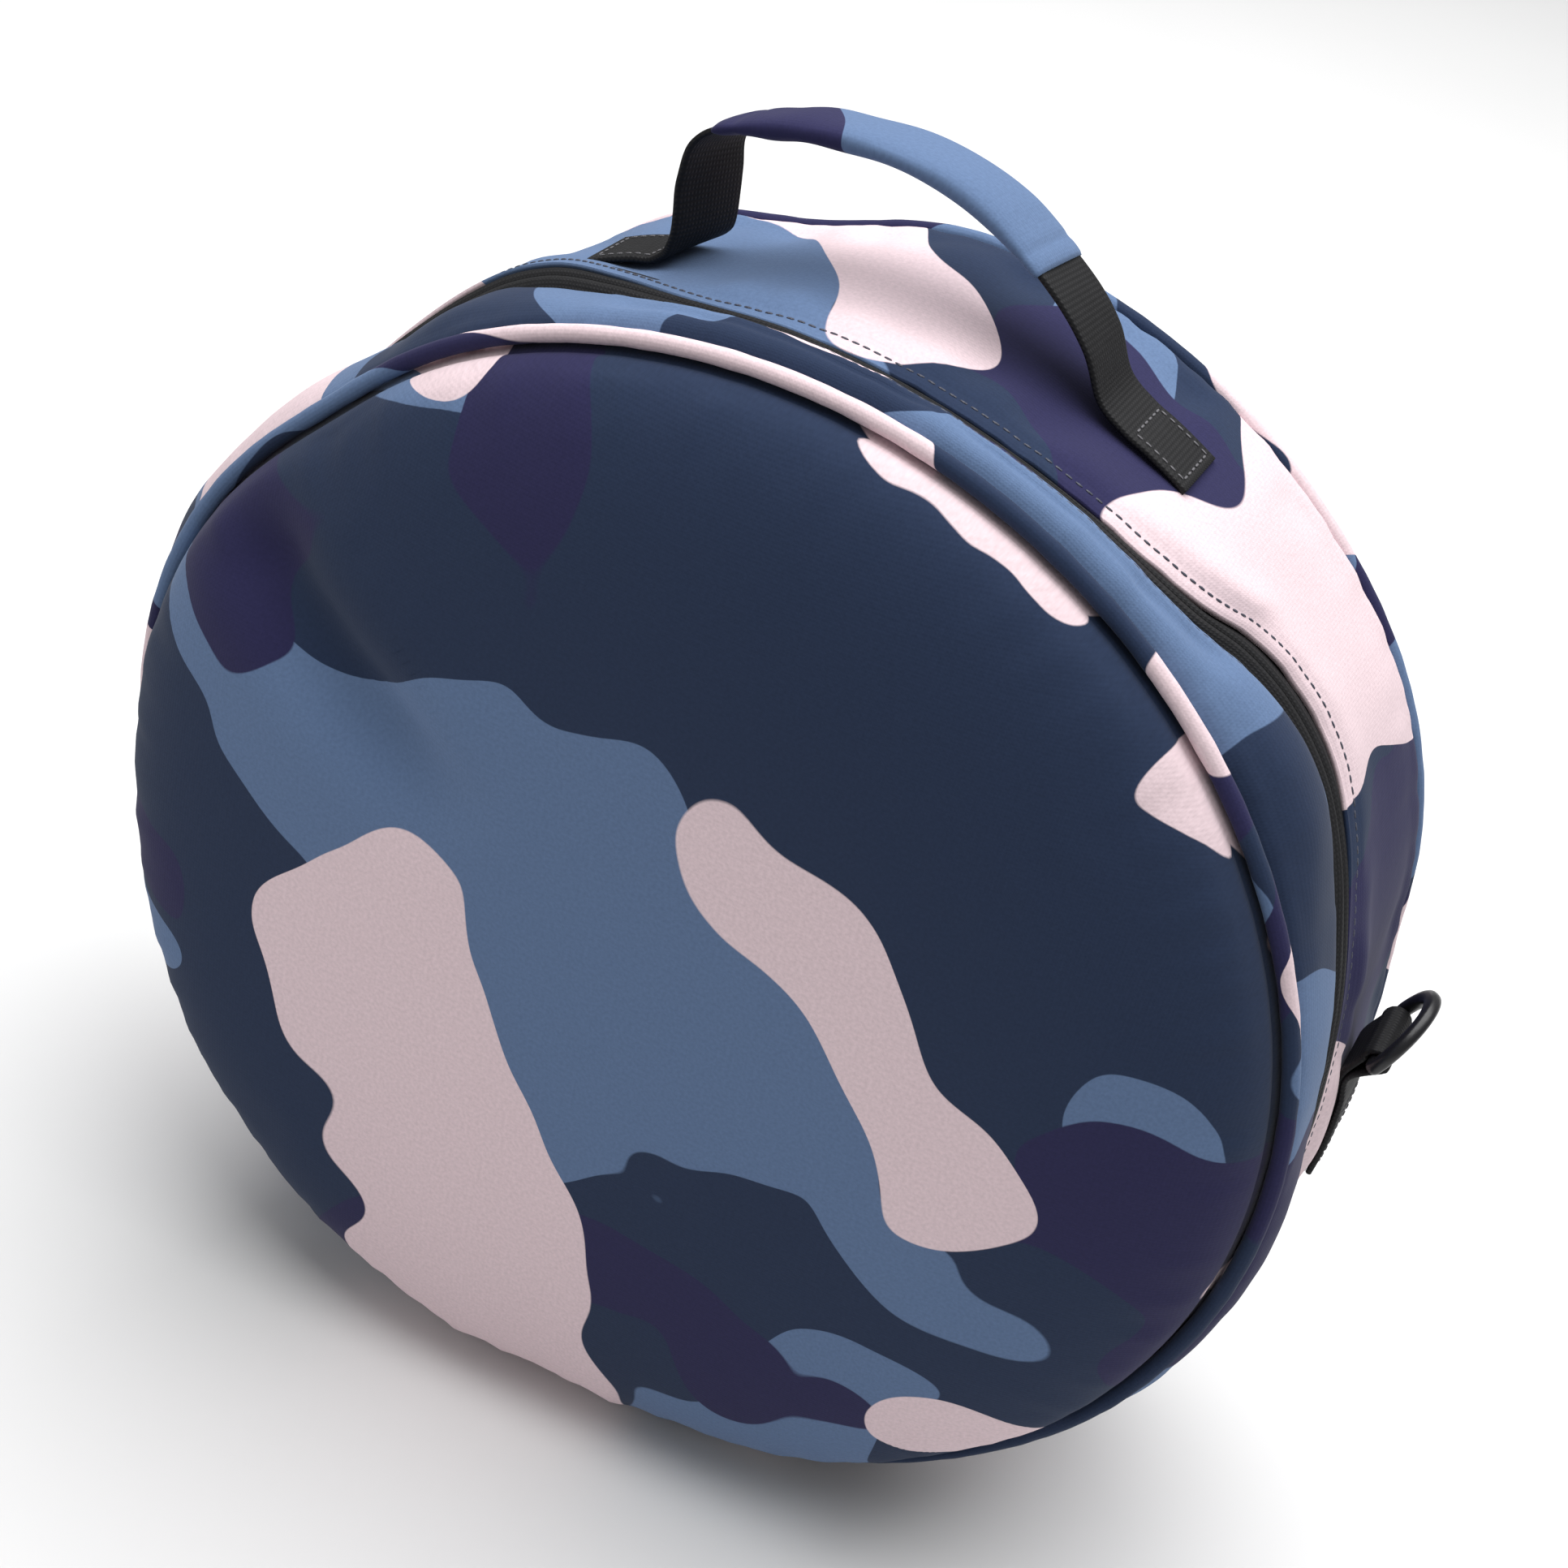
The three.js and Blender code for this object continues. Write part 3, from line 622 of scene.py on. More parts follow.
def panel_faces(height, crown_height, seam, facing, seed):
    """Outer and inner face of a round panel. A point at a share of the radius stands height ahead of the
    seam. Close to the rim the sewn cloth gathers into small ripples that die away over about a tenth of
    the radius, and the rim itself is tucked in behind the piping."""
    share, angle = disc_grid(PANEL_POINTS)
    squashed = 1 + (squat(angle, seam) - 1) * share**2
    gathers = PANEL_GATHER * ripple(angle, seed) * np.exp(-(((share - 0.955) / 0.045) ** 2))
    tall = height(share, angle)
    pinch = SEAM_PINCH * np.exp(-((tall / 4) ** 2)) * smooth(share, 0.8, 1)
    at_rim = share > 1 - 1e-6
    out = np.where(at_rim, -PANEL_EDGE, tall + gathers)
    inner_radius = (PANEL_RADIUS - PADDING) * share * squashed
    outer_radius = np.where(at_rim, PANEL_RIM, PANEL_RADIUS * share - pinch) * squashed
    inner_out = np.where(at_rim, -PANEL_EDGE, tall * (1 - PADDING / crown_height))
    across, up = np.sin(angle), np.cos(angle)
    outer = spots(outer_radius * across, seam + facing * out, outer_radius * up)
    inner = spots(inner_radius * across, seam + facing * inner_out, inner_radius * up)
    return outer, inner, share


def round_panel(name, height, crown_height, seam, facing, seed, cut):
    """A padded round panel, settled as cloth with its rim and its inner face held."""
    outer, inner, share = panel_faces(height, crown_height, seam, facing, seed)
    panel = disc_piece(name, outer, inner, cut, CLOTH, nodes=[name], slot="camouflage_cloth")
    held = np.concatenate([share.ravel() > 0.985, np.ones(share.size, bool)])
    settle(panel, held, loose=0.55, cap=3.0)
    return panel


round_panel(
    "front_panel", front_height, PILLOW_HEIGHT, seam=0.0, facing=-1, seed=1.0, cut=(1.2, 1.808)
)
round_panel(
    "back_panel", back_height, BACK_CROWN, seam=DEPTH, facing=1, seed=4.0, cut=(1.824, 1.376)
)


# Piping and padded walls

AROUND = np.linspace(0, 2 * np.pi, 480, endpoint=False) + np.pi
SEWN_EDGE = 7.0  # how far from its seams a wall is held while it settles


def piping(name, setback, seed, cut):
    """A cord in a cloth cover: a small circle turned about the axis, slightly uneven where the stitches
    pull it. The circle starts on the inside, so the cover's cut edges lie in the seam."""
    angle = AROUND[:, None]
    turn = np.pi + np.linspace(0, 2 * np.pi, 14, endpoint=False)[None, :]
    bead = PIPING_BEAD * (1 + 0.04 * ripple(angle, seed))
    points = wall(PIPING_RADIUS + bead * np.cos(turn), angle, setback + bead * np.sin(turn))
    return grid_piece(name, points, cut, CLOTH, wrap_rows=True, nodes=[name], slot="camouflage_cloth")


def groove(distance):
    """Valley that a line of stitches presses into padding, at a distance from a lip: a narrow bell curve."""
    return STITCH_GROOVE * np.exp(-(((distance - STITCH_INSET) / 1.3) ** 2))


def off_floor(angle):
    """0 where the wall lies on the floor, rising to 1 well above it."""
    return smooth(off_bottom(angle), np.radians(13), np.radians(35))


def band_outer(angle, share):
    """Radius of the band's outer face: a puff over its width, less where the bag rests, with gathers at
    both seams."""
    lip = zip_edges(angle)[0]
    width = lip - BAND_FRONT
    room = 12 * smooth(off_bottom(angle), np.radians(12), np.radians(62))
    full = BAND_PUFF * through(PUFF_ROWS, 1, np.degrees(signed(angle)))
    puffed = np.minimum(BAND_EDGE + through(BAND_ROWS, 1, share) * full * width, OUTER + room)
    seams = np.exp(-share * width / 5) + 0.6 * np.exp(-(1 - share) * width / 6)
    swells = BAND_SLACK * slack(angle, 1.5) * np.sin(np.pi * share)
    uneven = BAND_GATHER * ripple(angle, 2.0) * seams + swells
    pinch = SEAM_PINCH * np.exp(-((share * width / 2.2) ** 2))
    shaped = puffed + off_floor(angle) * (uneven - pinch) - groove((1 - share) * width)
    lip_level = TAPE_OUTER + LIP_RISE + BAND_LIFT * zip_lift(angle)
    return np.where(share > 0.6, np.maximum(shaped, lip_level), shaped)


def gusset_outer(angle, share):
    """Radius of the gusset's outer face: level with the piping, drawn down to both seams, with gathers
    beside them, and raised towards the lip where the zip lifts it."""
    depth = GUSSET_REAR - zip_edges(angle)[1]
    seams = np.exp(-(1 - share) * depth / 7) + 0.5 * np.exp(-share * depth / 7)
    swells = GUSSET_SLACK * slack(angle, 3.5) * np.sin(np.pi * share)
    uneven = GUSSET_GATHER * ripple(angle, 5.0) * seams + swells
    level = OUTER - through(GUSSET_ROWS, 1, share) - groove(share * depth)
    shaped = level + off_floor(angle) * uneven
    lip_level = TAPE_OUTER + LIP_RISE + zip_lift(angle) - 0.12 * share * depth
    return np.maximum(shaped, lip_level)


def band_inner(angle, share):
    """Radius of the band's inner face, clear of the zip's tape."""
    padded = np.maximum(band_outer(angle, share) - through(BAND_ROWS, 2, share), TAPE_OUTER + SEAM_GAP)
    return padded + BAND_LIFT * zip_lift(angle) * (share > 0.6)


def gusset_inner(angle, share):
    """Radius of the gusset's inner face."""
    return gusset_outer(angle, share) - through(GUSSET_ROWS, 2, share)


def band_edges(angle):
    """Set-backs of the band's edge beside the piping and of its lip over the zip."""
    return np.full_like(angle, BAND_FRONT), zip_edges(angle)[0]


def gusset_edges(angle):
    """Set-backs of the gusset's lip over the zip and of its edge beside the rear piping."""
    return zip_edges(angle)[1], np.full_like(angle, GUSSET_REAR)


def padded_wall(name, outer, inner, edges, cut):
    """A closed padded wall round the bag: its outer face from front to rear, then its inner face back
    again. It settles as cloth between its sewn edges, off the floor."""
    angle = AROUND[:, None]
    out_share = (1 - np.cos(np.linspace(0, np.pi, 30)))[None, :] / 2
    in_share = np.linspace(1, 0, 10)[None, :]
    share = np.concatenate([out_share, in_share], axis=1)
    radius = np.concatenate([outer(angle, out_share), inner(angle, in_share)], axis=1)
    front, rear = edges(angle)
    depth = rear - front
    points = wall(radius, angle, front + depth * share)
    hidden = np.arange(share.size)[None, :] >= out_share.size
    sewn = np.minimum(share, 1 - share) * depth < SEWN_EDGE
    held = hidden | sewn | (off_bottom(angle) < np.radians(20))
    join = in_share.size // 2
    points, held = np.roll(points, join, axis=1), np.roll(held, join, axis=1)
    piece = grid_piece(name, points, cut, CLOTH, wrap_rows=True, nodes=[name], slot="camouflage_cloth")
    settle(piece, held.ravel(), loose=0.6, cap=2.0)
    return piece


piping("front_piping", setback=0.0, seed=1.0, cut=(0.252, 2.076))
piping("rear_piping", setback=DEPTH, seed=2.0, cut=(0.876, 0.276))
padded_wall("front_band", band_outer, band_inner, band_edges, cut=(0.732, 0.216))
padded_wall("rear_gusset", gusset_outer, gusset_inner, gusset_edges, cut=(0.744, 1.92))


# Zip

def zip_strip(name, near, far, start, end, ridge, arch, cut, material, slot):
    """A woven strip along the zip between two distances from its middle line. It leans from the band's
    lip up to the gusset's lip, arches up between them, and has a low ridge over each edge of the coil,
    2 mm from the middle."""
    angle = np.linspace(start, end, 420)[:, None]
    across = np.linspace(near, far, 14)
    aside = np.concatenate([across, across[::-1]])[None, :]
    lip, gusset = zip_edges(angle)
    raised = arch * np.maximum(1 - (2 * aside / (gusset - lip)) ** 2, 0)
    lean = BAND_LIFT + (1 - BAND_LIFT) * np.clip(0.5 + aside / (gusset - lip), 0, 1)
    top = TAPE_OUTER + ridge * np.exp(-(((np.abs(across) - 2.2) / 1.1) ** 2))
    radius = np.concatenate([top, np.full(14, TAPE_OUTER - TAPE_THICKNESS)])[None, :]
    points = wall(radius + raised + lean * zip_lift(angle), angle, (lip + gusset) / 2 + aside)
    return grid_piece(name, points, cut, material, nodes=[name], slot=slot)


def zip_coil():
    """The closed coil under the tapes: a flat oval along the zip, ribbed by its turns. Its real turns are
    1.2 mm apart, drawn twice as far apart so that few points carry them."""
    angle = np.linspace(-ZIP_END, ZIP_END, 1540)[:, None]
    turn = np.linspace(0, 2 * np.pi, 10, endpoint=False)[None, :]
    rib = 1 + 0.14 * np.sin(2 * np.pi * angle * TAPE_OUTER / COIL_PITCH)
    lip, gusset = zip_edges(angle)
    middle = TAPE_OUTER - TAPE_THICKNESS - COIL_DROP + (1 + BAND_LIFT) / 2 * zip_lift(angle)
    radius = middle + COIL_HALF_HEIGHT * rib * np.sin(turn)
    points = wall(radius, angle, (lip + gusset) / 2 + COIL_HALF_WIDTH * rib * np.cos(turn))
    return grid_piece("zip_coil", points, (0, 0), PLASTIC, nodes=["zip_coil"], slot="black_plastic")


def on_zip(along, across, height):
    """Points beside the slider's middle: along the zip, across it and above the tape."""
    lip, gusset = zip_edges(SLIDER_ANGLE)
    angle = SLIDER_ANGLE + along / TAPE_OUTER
    return wall(TAPE_OUTER + SLIDER_GAP + height, angle, (lip + gusset) / 2 + across)


def zip_slider():
    """The slider's body: superellipse sections, wide where the two tapes part and narrow where they leave
    it closed."""
    along = np.sin(np.linspace(-np.pi / 2, np.pi / 2, 21))[1:-1, None]
    turn = np.linspace(0, 2 * np.pi, 24, endpoint=False)[None, :]
    full = (1 - np.abs(along) ** 4) ** 0.25
    wide = (SLIDER_HALF_WIDTH - SLIDER_TAPER * along) * full * squared_off(np.cos(turn), 0.6)
    high = SLIDER_HALF_HEIGHT * full * squared_off(np.sin(turn), 0.6)
    points = on_zip(SLIDER_HALF_LENGTH * along, wide, SLIDER_MIDDLE + high)
    return grid_piece("zip_slider", points, (0, 0), PLASTIC, nodes=["zip_slider"], slot="black_plastic")


ZIP_TAPE = {"ridge": ZIP_RIDGE, "arch": ZIP_ARCH, "material": TAPE, "slot": "zip_tape"}
zip_strip("zip_tape_front", -TAPE_WIDTH, -SEAM_GAP / 2, -ZIP_END, ZIP_END, cut=(0, 0), **ZIP_TAPE)
zip_strip("zip_tape_rear", SEAM_GAP / 2, TAPE_WIDTH, -ZIP_END, ZIP_END, cut=(0, 0.05), **ZIP_TAPE)
hinge_start = ZIP_END + SEAM_GAP / TAPE_OUTER
hinge = zip_strip(
    "hinge_panel", -TAPE_WIDTH, TAPE_WIDTH, hinge_start, 2 * np.pi - hinge_start,
    ridge=0.0, arch=0.0, cut=(5.0, 0.4), material=CLOTH, slot="camouflage_cloth",
)
zip_coil()
zip_slider()


# Handle

def strap_line(corners, stations):
    """Smooth line in x and z through corner points: a Catmull-Rom curve, then spaced evenly along its
    length."""
    corners = np.array(corners, float)
    ends = np.concatenate([corners[:1], corners, corners[-1:]])
    t = np.linspace(0, 1, 24, endpoint=False)[None, :, None]
    before, first, second, after = (ends[start:len(ends) - 3 + start, None] for start in range(4))
    leave, arrive = (second - before) / 2, (after - first) / 2
    curve = (
        (2 * first - 2 * second + leave + arrive) * t**3
        + (3 * second - 3 * first - 2 * leave - arrive) * t**2
        + leave * t
        + first
    )
    line = np.concatenate([curve.reshape(-1, 2), corners[-1:]])
    run = lengths(line)
    return at_lengths(np.linspace(0, run[-1], stations), run, line)


def aside_of(line):
    """Unit direction square to a line in x and z, on its left."""
    along = np.gradient(line, axis=0)
    along /= np.linalg.norm(along, axis=1, keepdims=True)
    return np.stack([-along[:, 1], along[:, 0]], axis=1)


def flat_section(width, thickness):
    """Closed outline of a flat band with round edges, as pairs of distance across and height."""
    half = (width - thickness) / 2
    turn = np.linspace(-np.pi / 2, np.pi / 2, 6)
    edge = np.stack([half + thickness / 2 * np.cos(turn), thickness / 2 * np.sin(turn)], axis=1)
    across = np.linspace(half, -half, 11)[1:-1]
    face = np.stack([across, np.full(9, thickness / 2)], axis=1)
    return np.concatenate([edge, face, -edge, -face])


def twisted(x, setback, z):
    """The loose strap doesn't stand square: its feet follow the wall, its left fold is skewed, and higher
    up its rear edge is shifted to the right and hangs lower."""
    (left, foot_height), (right, _) = HANDLE_ROWS[0], HANDLE_ROWS[-1]
    angle = np.arctan2(x, z)
    follow = squat(angle, setback) / squat(angle, WEBBING_SETBACK)
    free = smooth(z, foot_height - HANDLE_FOLD, foot_height)
    high = smooth(z, foot_height + HANDLE_RISE[0], foot_height + HANDLE_RISE[1])
    unfolded = smooth(z, foot_height + HANDLE_UNFOLD[0], foot_height + HANDLE_UNFOLD[1])
    across = np.clip((x - left) / (right - left), 0, 1)
    fold = HANDLE_TWIST[0] * (1 - smooth(across, 0, 0.35)) * free * (1 - unfolded)
    twist = fold + high * (HANDLE_TWIST[1] + (HANDLE_TWIST[2] - HANDLE_TWIST[1]) * across)
    drop = high * (HANDLE_TILT[0] + (HANDLE_TILT[1] - HANDLE_TILT[0]) * across)
    behind = setback - WEBBING_SETBACK
    kept = follow + (1 - follow) * free
    return x * kept + behind * twist, z * kept - behind * drop


def on_handle(line, aside, across, height):
    """Points at a distance across the strap and a height above its middle line, after the strap's twist."""
    x = line[..., 0] + aside[..., 0] * height
    z = line[..., 1] + aside[..., 1] * height
    setback = WEBBING_SETBACK + across
    x, z = twisted(x, setback, z)
    return spots(x, setback, z)


def foot(degrees):
    """Middle of the strap where it lies on the gusset."""
    radius = (OUTER + FOOT_GAP + WEBBING_THICKNESS / 2) * squat(np.radians(degrees), WEBBING_SETBACK)
    return radius * np.sin(np.radians(degrees)), radius * np.cos(np.radians(degrees))


left_foot = [foot(-degrees) for degrees in HANDLE_FOOT_ANGLES]
right_foot = [foot(degrees) for degrees in HANDLE_FOOT_ANGLES[::-1]]
STRAP = strap_line([*left_foot, *HANDLE_ROWS, *right_foot], 221)
STRAP_ASIDE = aside_of(STRAP)
WEBBING_SECTION = flat_section(WEBBING_WIDTH, WEBBING_THICKNESS)[None]


def handle_webbing():
    """One strap from foot to foot: the flat section carried along its line."""
    line, aside = STRAP[:, None], STRAP_ASIDE[:, None]
    points = on_handle(line, aside, WEBBING_SECTION[..., 0], WEBBING_SECTION[..., 1])
    return grid_piece(
        "handle_webbing", points, (0, 0), WEBBING, nodes=["handle_webbing"], slot="black_webbing"
    )


def handle_grip():
    """A padded sleeve: an oval section carried along the strap, drawn in at a stitched hem near each end,
    with soft creases across it. Its inside is a flat passage for the strap."""
    first, last = (int(round(share * (len(STRAP) - 1))) for share in GRIP_SHARES)
    line, aside = STRAP[first:last + 1, None], STRAP_ASIDE[first:last + 1, None]
    run = lengths(STRAP[first:last + 1])[:, None]
    turn = np.linspace(0, 2 * np.pi, 48, endpoint=False)[None, :]
    wide = squared_off(np.cos(turn), 0.7)
    high = squared_off(np.sin(turn), 0.8)
    to_end = np.minimum(run, run[-1] - run)
    hem = 0.5 * np.exp(-(((to_end - 6) / 1.2) ** 2)) + 1.0 * np.exp(-to_end / 0.8)
    waves = np.sin(run / 4.1 + 2 * np.sin(run / 23)) * np.sin(turn + run / 31)
    crease = 0.35 * waves * smooth(to_end, 6, 16)
    thickness = GRIP_END_THICKNESS + (GRIP_THICKNESS - GRIP_END_THICKNESS) * smooth(to_end, 2, 20)
    height = (thickness / 2 - hem + crease) * high
    across = (GRIP_WIDTH / 2 - 0.3 * hem) * wide
    sleeve = on_handle(line, aside, across, height)
    passage = on_handle(line, aside, GRIP_PASSAGE[0] * wide, GRIP_PASSAGE[1] * high)[::-1]
    points = np.concatenate([sleeve, passage])
    facts = {"nodes": ["handle_grip"], "slot": "camouflage_cloth"}
    grip = grid_piece("handle_grip", points, (0.032, 1.88), CLOTH, wrap_rows=True, **facts)
    return grip


handle_webbing()
handle_grip()


# Side tabs and rings

def side_turn(points, side):
    """The left fitting is the right one turned half round the upright line at the webbing's set-back."""
    if side > 0:
        return points
    middle = np.array([0, (WEBBING_SETBACK + FRONT_Y) * MM, 0])
    return (points - middle) * np.array([-1, -1, 1]) + middle


def tab_line(side):
    """Middle line of a tab's strap: up the wall, round the ring's bar and down again over itself."""
    degrees = np.linspace(*TAB_ANGLES, 5)
    angle = side * np.radians(degrees)
    radius = (OUTER + SEAM_GAP) * squat(angle, WEBBING_SETBACK)
    direction = np.stack([np.sin(np.radians(degrees)), np.cos(np.radians(degrees))], axis=1)
    under = direction * (radius + WEBBING_THICKNESS / 2)[:, None]
    over = direction[::-1] * (radius[::-1] + 1.5 * WEBBING_THICKNESS + 0.1)[:, None]
    turn = np.radians(np.linspace(190, -30, 12))
    eye = np.array(RING_BAR) + TAB_EYE * np.stack([np.cos(turn), np.sin(turn)], axis=1)
    return strap_line([*under, *eye, *over], 90)


def on_tab(line, aside, across, height, side):
    """Points at a distance across a tab's strap and a height above its middle line."""
    x = line[..., 0] + aside[..., 0] * height
    z = line[..., 1] + aside[..., 1] * height
    return side_turn(spots(x, WEBBING_SETBACK + across, z), side)


def ring_tab(name, side):
    """Folded webbing, sewn flat on the gusset, with an eye for the ring's bar."""
    line = tab_line(side)
    aside = aside_of(line)
    points = on_tab(line[:, None], aside[:, None], WEBBING_SECTION[..., 0], WEBBING_SECTION[..., 1], side)
    return grid_piece(name, points, (0.3, 0.1), WEBBING, nodes=[name], slot="black_webbing")


def moulded_loop(outer, inner, half_thickness, bulge):
    """A rounded bar whose section spans from an inner to an outer outline: a superellipse of that width.
    It gives the points as distances along the outline's own two axes and out of its plane."""
    turn = np.linspace(0, 2 * np.pi, 20, endpoint=False)[None, :, None]
    swing = squared_off(np.cos(turn), bulge)
    lift = squared_off(np.sin(turn), bulge)
    middle = (outer + inner)[:, None] / 2
    half = (outer - inner)[:, None] / 2
    return middle + half * swing, half_thickness * np.broadcast_to(lift[..., 0], (len(outer), 20))


def ring_outlines():
    """Outer and inner outline of the D: a half round arch, and a straight bar turned into it at two round
    corners."""
    arch = np.linspace(0, np.pi, 60)
    corner = np.linspace(0, np.pi / 2, 10)[1:-1]
    bar = np.linspace(-RING_INSIDE, RING_INSIDE, 16)
    arm = RING_HALF_WIDTH - RING_INSIDE
    on_arch = np.stack([np.cos(arch), np.sin(arch)], axis=1)
    lift = np.array([0, RING_BAR_HALF])
    drop = RING_BAR_HALF - 2 * RING_BAR_HALF * np.sin(corner)
    left = np.stack([-RING_INSIDE - arm * np.cos(corner), drop], axis=1)
    right = left[::-1] * np.array([-1, 1])
    low = np.stack([bar, np.full(16, -RING_BAR_HALF)], axis=1)
    high = np.stack([bar, np.full(16, RING_BAR_HALF)], axis=1)
    outer = np.concatenate([RING_HALF_WIDTH * on_arch + lift, left, low, right])
    pivots = np.repeat([[-RING_INSIDE, RING_BAR_HALF]], len(left), axis=0)
    inner = np.concatenate([RING_INSIDE * on_arch + lift, pivots, high, pivots * np.array([-1, 1])])
    return outer, inner


def d_ring(name, side, body):
    """The moulded ring, leaning outwards about its bar."""
    outer, inner = ring_outlines()
    flat, lift = moulded_loop(outer, inner, RING_BAR_HALF, 0.75)
    up = flat[..., 1]
    x = RING_BAR[0] + up * np.sin(RING_LEAN) + lift * np.cos(RING_LEAN)
    z = RING_BAR[1] + up * np.cos(RING_LEAN) - lift * np.sin(RING_LEAN)
    points = side_turn(spots(x, WEBBING_SETBACK + flat[..., 0], z), side)
    facts = {"nodes": [name], "slot": "black_plastic", "body": body}
    return grid_piece(name, points, (0, 0), PLASTIC, wrap_rows=True, **facts)


def zip_pull():
    """The slider's pull: a long narrow moulded loop that lies along the zip."""
    turn = np.linspace(0, 2 * np.pi, 48, endpoint=False)
    long = squared_off(np.cos(turn), 0.7)
    wide = squared_off(np.sin(turn), 0.7)
    outer = np.stack([PULL_MIDDLE + PULL_OUTSIDE[0] * long, PULL_OUTSIDE[1] * wide], axis=1)
    inner = np.stack([PULL_MIDDLE + PULL_INSIDE[0] * long, PULL_INSIDE[1] * wide], axis=1)
    flat, lift = moulded_loop(outer, inner, PULL_HALF_THICKNESS, 0.75)
    height = PULL_HEIGHT - PULL_DROP * smooth(flat[..., 0], 3, 12) + lift
    points = on_zip(flat[..., 0], flat[..., 1], height)
    return grid_piece("zip_pull", points, (0, 0), PLASTIC, wrap_rows=True, slot="black_plastic")


zip_pull()
ring_tab("ring_tab_right", 1)
ring_tab("ring_tab_left", -1)
d_ring("d_ring_right", 1, "ring_right")
d_ring("d_ring_left", -1, "ring_left")


# Stitches

TOPSTITCH_PITCH = 3.2
BOX_PITCH = 2.8
THREAD_RISE = 0.1


def stitches(name, line, up, pitch, material, thickness=0.45):
    """A row of stitches along a line: each one a small spindle, flattened on the cloth, as long as 0.7 of
    the pitch."""
    run = lengths(line)
    count = max(int(run[-1] / (pitch * MM)), 1)
    even = (np.arange(count) + 0.5) * run[-1] / count
    middle = at_lengths(even, run, line)
    normal = at_lengths(even, run, up)
    along = at_lengths(even, run, np.gradient(line, run, axis=0))
    along /= np.linalg.norm(along, axis=1, keepdims=True)
    aside = np.cross(along, normal)
    aside /= np.linalg.norm(aside, axis=1, keepdims=True)
    normal = np.cross(aside, along)
    reach = np.array([-1, -0.75, 0, 0.75, 1]) * 0.35 * pitch * MM
    girth = np.array([0.25, 0.8, 1, 0.8, 0.25]) * thickness * MM
    turn = np.linspace(0, 2 * np.pi, 6, endpoint=False)
    out = np.cos(turn)[None, :] * girth[:, None]
    over = np.sin(turn)[None, :] * girth[:, None] * 0.6
    points = (
        middle[:, None, None]
        + along[:, None, None] * reach[None, :, None, None]
        + aside[:, None, None] * out[None, :, :, None]
        + normal[:, None, None] * over[None, :, :, None]
    )
    row, column = quads_of(5, 6, False, True)
    first = np.arange(count)[:, None, None] * 30
    quads = (first + (row * 6 + column % 6)[None]).reshape(-1, 4)
    ends = np.concatenate([first[:, 0] + np.arange(6), first[:, 0] + 24 + np.arange(6)])
    return put(name, points, quads, np.zeros((len(quads), 4, 2)), material, caps=ends)


def lip_stitches(name, outer, edges, at_front):
    """A line of stitches round the bag, along the lip of a wall over the zip."""
    angle = np.linspace(-np.pi, np.pi, 1200)
    front, rear = edges(angle)
    depth = rear - front
    share = STITCH_INSET / depth if at_front else 1 - STITCH_INSET / depth
    line = wall(outer(angle, share) + THREAD_RISE, angle, front + depth * share)
    up = np.stack([np.sin(angle), np.zeros_like(angle), np.cos(angle)], axis=1)
    return stitches(name, line, up, TOPSTITCH_PITCH, DARK_THREAD)


def box_outline(length, width):
    """Closed rectangle, as distances along and across."""
    corner = np.array([[0, 0], [1, 0], [1, 1], [0, 1], [0, 0]]) - 0.5
    corner = corner * np.array([length, width])
    t = np.linspace(0, 1, 20, endpoint=False)[None, :, None]
    return (corner[:-1, None] + (corner[1:] - corner[:-1])[:, None] * t).reshape(-1, 2)


def sewn_box(name, line, middle, length, width, place, side=1):
    """Box stitches through a strap, about a middle length along its line. Place gives the points on the
    strap."""
    box = box_outline(length, width)
    run, aside = lengths(line), aside_of(line)
    spot = at_lengths(middle + box[:, 0], run, line)
    off = at_lengths(middle + box[:, 0], run, aside)
    points = place(spot, off, box[:, 1], WEBBING_THICKNESS / 2 + THREAD_RISE)
    up = np.stack([side * off[:, 0], np.zeros(len(box)), off[:, 1]], axis=1)
    return stitches(name, points, up, BOX_PITCH, GREY_THREAD, 0.4)


lip_stitches("gusset_topstitch", gusset_outer, gusset_edges, at_front=True)
lip_stitches("band_topstitch", band_outer, band_edges, at_front=False)

# Sewn boxes: length, width, and how far the middle lies from the strap's end
FOOT_BOX = (17.0, 18.0)
FOOT_BOX_INSET = 11.0
TAB_BOX = (18.0, 18.0)
TAB_BOX_INSET = 13.0
sewn_box("left_foot_stitches", STRAP, FOOT_BOX_INSET, *FOOT_BOX, on_handle)
sewn_box("right_foot_stitches", STRAP, lengths(STRAP)[-1] - FOOT_BOX_INSET, *FOOT_BOX, on_handle)
for hand, side in (("right", 1), ("left", -1)):
    line = tab_line(side)
    middle = lengths(line)[-1] - TAB_BOX_INSET
    sewn_box(f"{hand}_tab_stitches", line, middle, *TAB_BOX, partial(on_tab, side=side), side)


# Floor, light and camera

FLOOR_HALF = 8.0  # metres


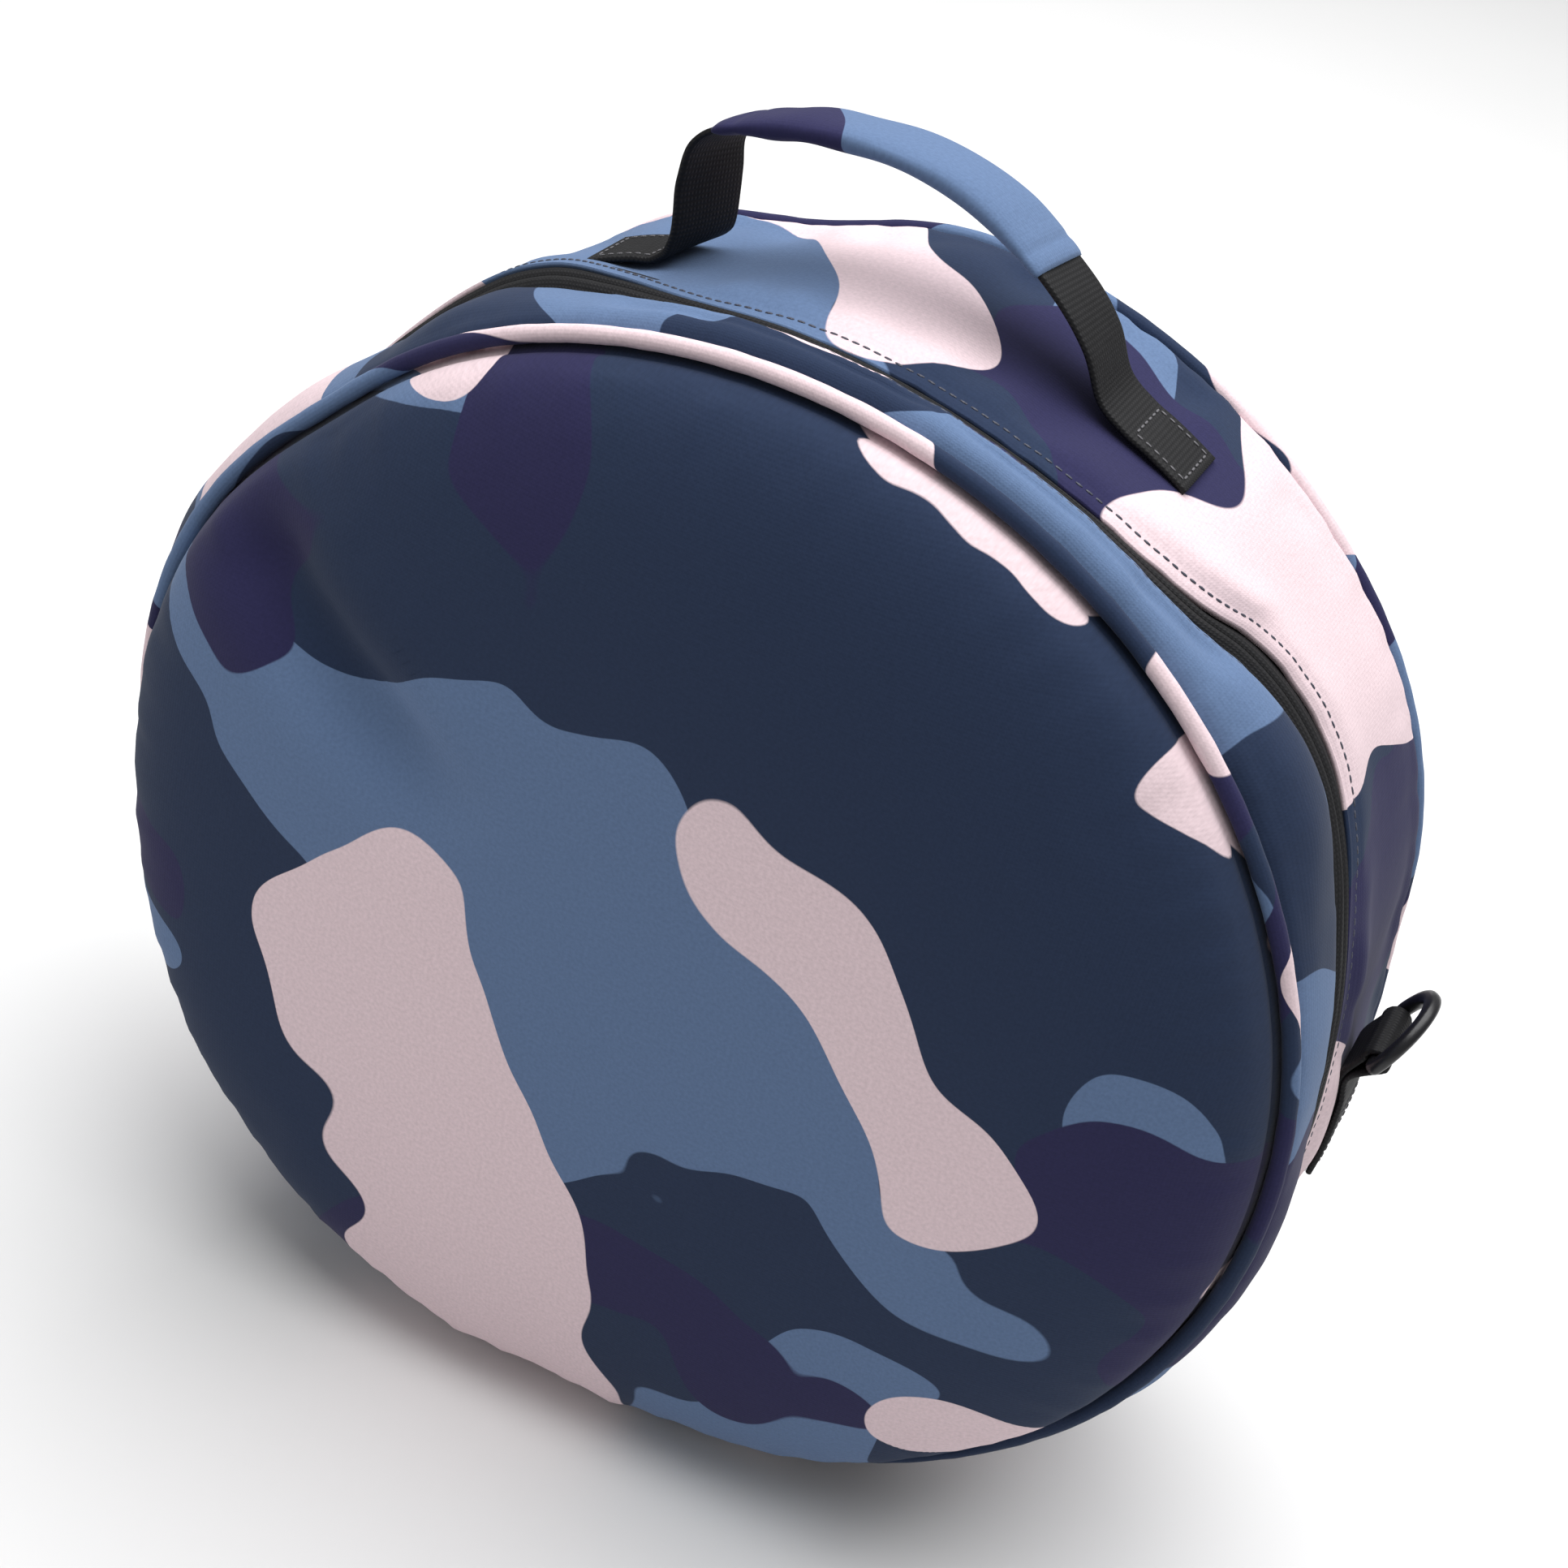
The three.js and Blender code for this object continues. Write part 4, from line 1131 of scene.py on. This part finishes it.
def floor():
    """A plain pale floor, far larger than the bag. It gives the eye a matt white board with a faint tone."""
    material, tree, shader = new_material("painted_board_matt_white")
    place = add(tree, "TexCoord").outputs["Object"]
    tone = add(tree, "TexNoise", {"Vector": place, "Scale": 3.0, "Detail": 2.0})
    shade = add(tree, "MapRange", {"Value": tone.outputs["Fac"], "To Min": 0.76, "To Max": 0.8})
    tree.links.new(shade.outputs[0], shader.inputs["Base Color"])
    set_inputs(shader, Roughness=0.9, IOR=1.5)
    mesh = bpy.data.meshes.new("floor")
    corners = [(-FLOOR_HALF, -FLOOR_HALF, 0), (FLOOR_HALF, -FLOOR_HALF, 0)]
    corners += [(FLOOR_HALF, FLOOR_HALF, 0), (-FLOOR_HALF, FLOOR_HALF, 0)]
    mesh.from_pydata(corners, [], [(0, 1, 2, 3)])
    mesh.materials.append(material)
    board = bpy.data.objects.new("floor", mesh)
    bpy.context.scene.collection.objects.link(board)


def lamp(name, place, target, size, power):
    """A square soft box at a place, facing a target."""
    light = bpy.data.lights.new(name, "AREA")
    light.shape = "SQUARE"
    light.size = size
    light.energy = power
    stand = bpy.data.objects.new(name, light)
    stand.location = place
    stand.rotation_euler = (Vector(target) - Vector(place)).to_track_quat("-Z", "Y").to_euler()
    bpy.context.scene.collection.objects.link(stand)


floor()
lamp("soft_box_above", (0.1, 0.3, 1.9), target=(0, 0, 0.2), size=2.4, power=74)
lamp("soft_box_left", (-1.4, -1.2, 1.1), target=(0, 0, 0.15), size=1.0, power=3)
world = bpy.data.worlds.new("studio")
world.use_nodes = True
set_inputs(world.node_tree.nodes["Background"], Color=(1, 1, 1, 1), Strength=0.27)
bpy.context.scene.world = world
bpy.context.scene.view_settings.view_transform = "Standard"

# The camera stands to the right of the front, looks down and is rolled, as in the photograph
CAMERA_PLACE = Vector((0.2155, -0.6136, 0.6577))
CAMERA_TARGET = Vector((0.0058, 0, 0.2085))
CAMERA_ROLL = np.radians(13)
camera_data = bpy.data.cameras.new("camera")
camera_data.lens = 63.35
camera_data.sensor_width = 36.0
camera = bpy.data.objects.new("camera", camera_data)
aimed = (CAMERA_TARGET - CAMERA_PLACE).to_track_quat("-Z", "Y")
rolled = aimed @ Quaternion((0, 0, 1), CAMERA_ROLL)
camera.matrix_world = Matrix.LocRotScale(CAMERA_PLACE, rolled, None)
bpy.context.scene.collection.objects.link(camera)
bpy.context.scene.camera = camera
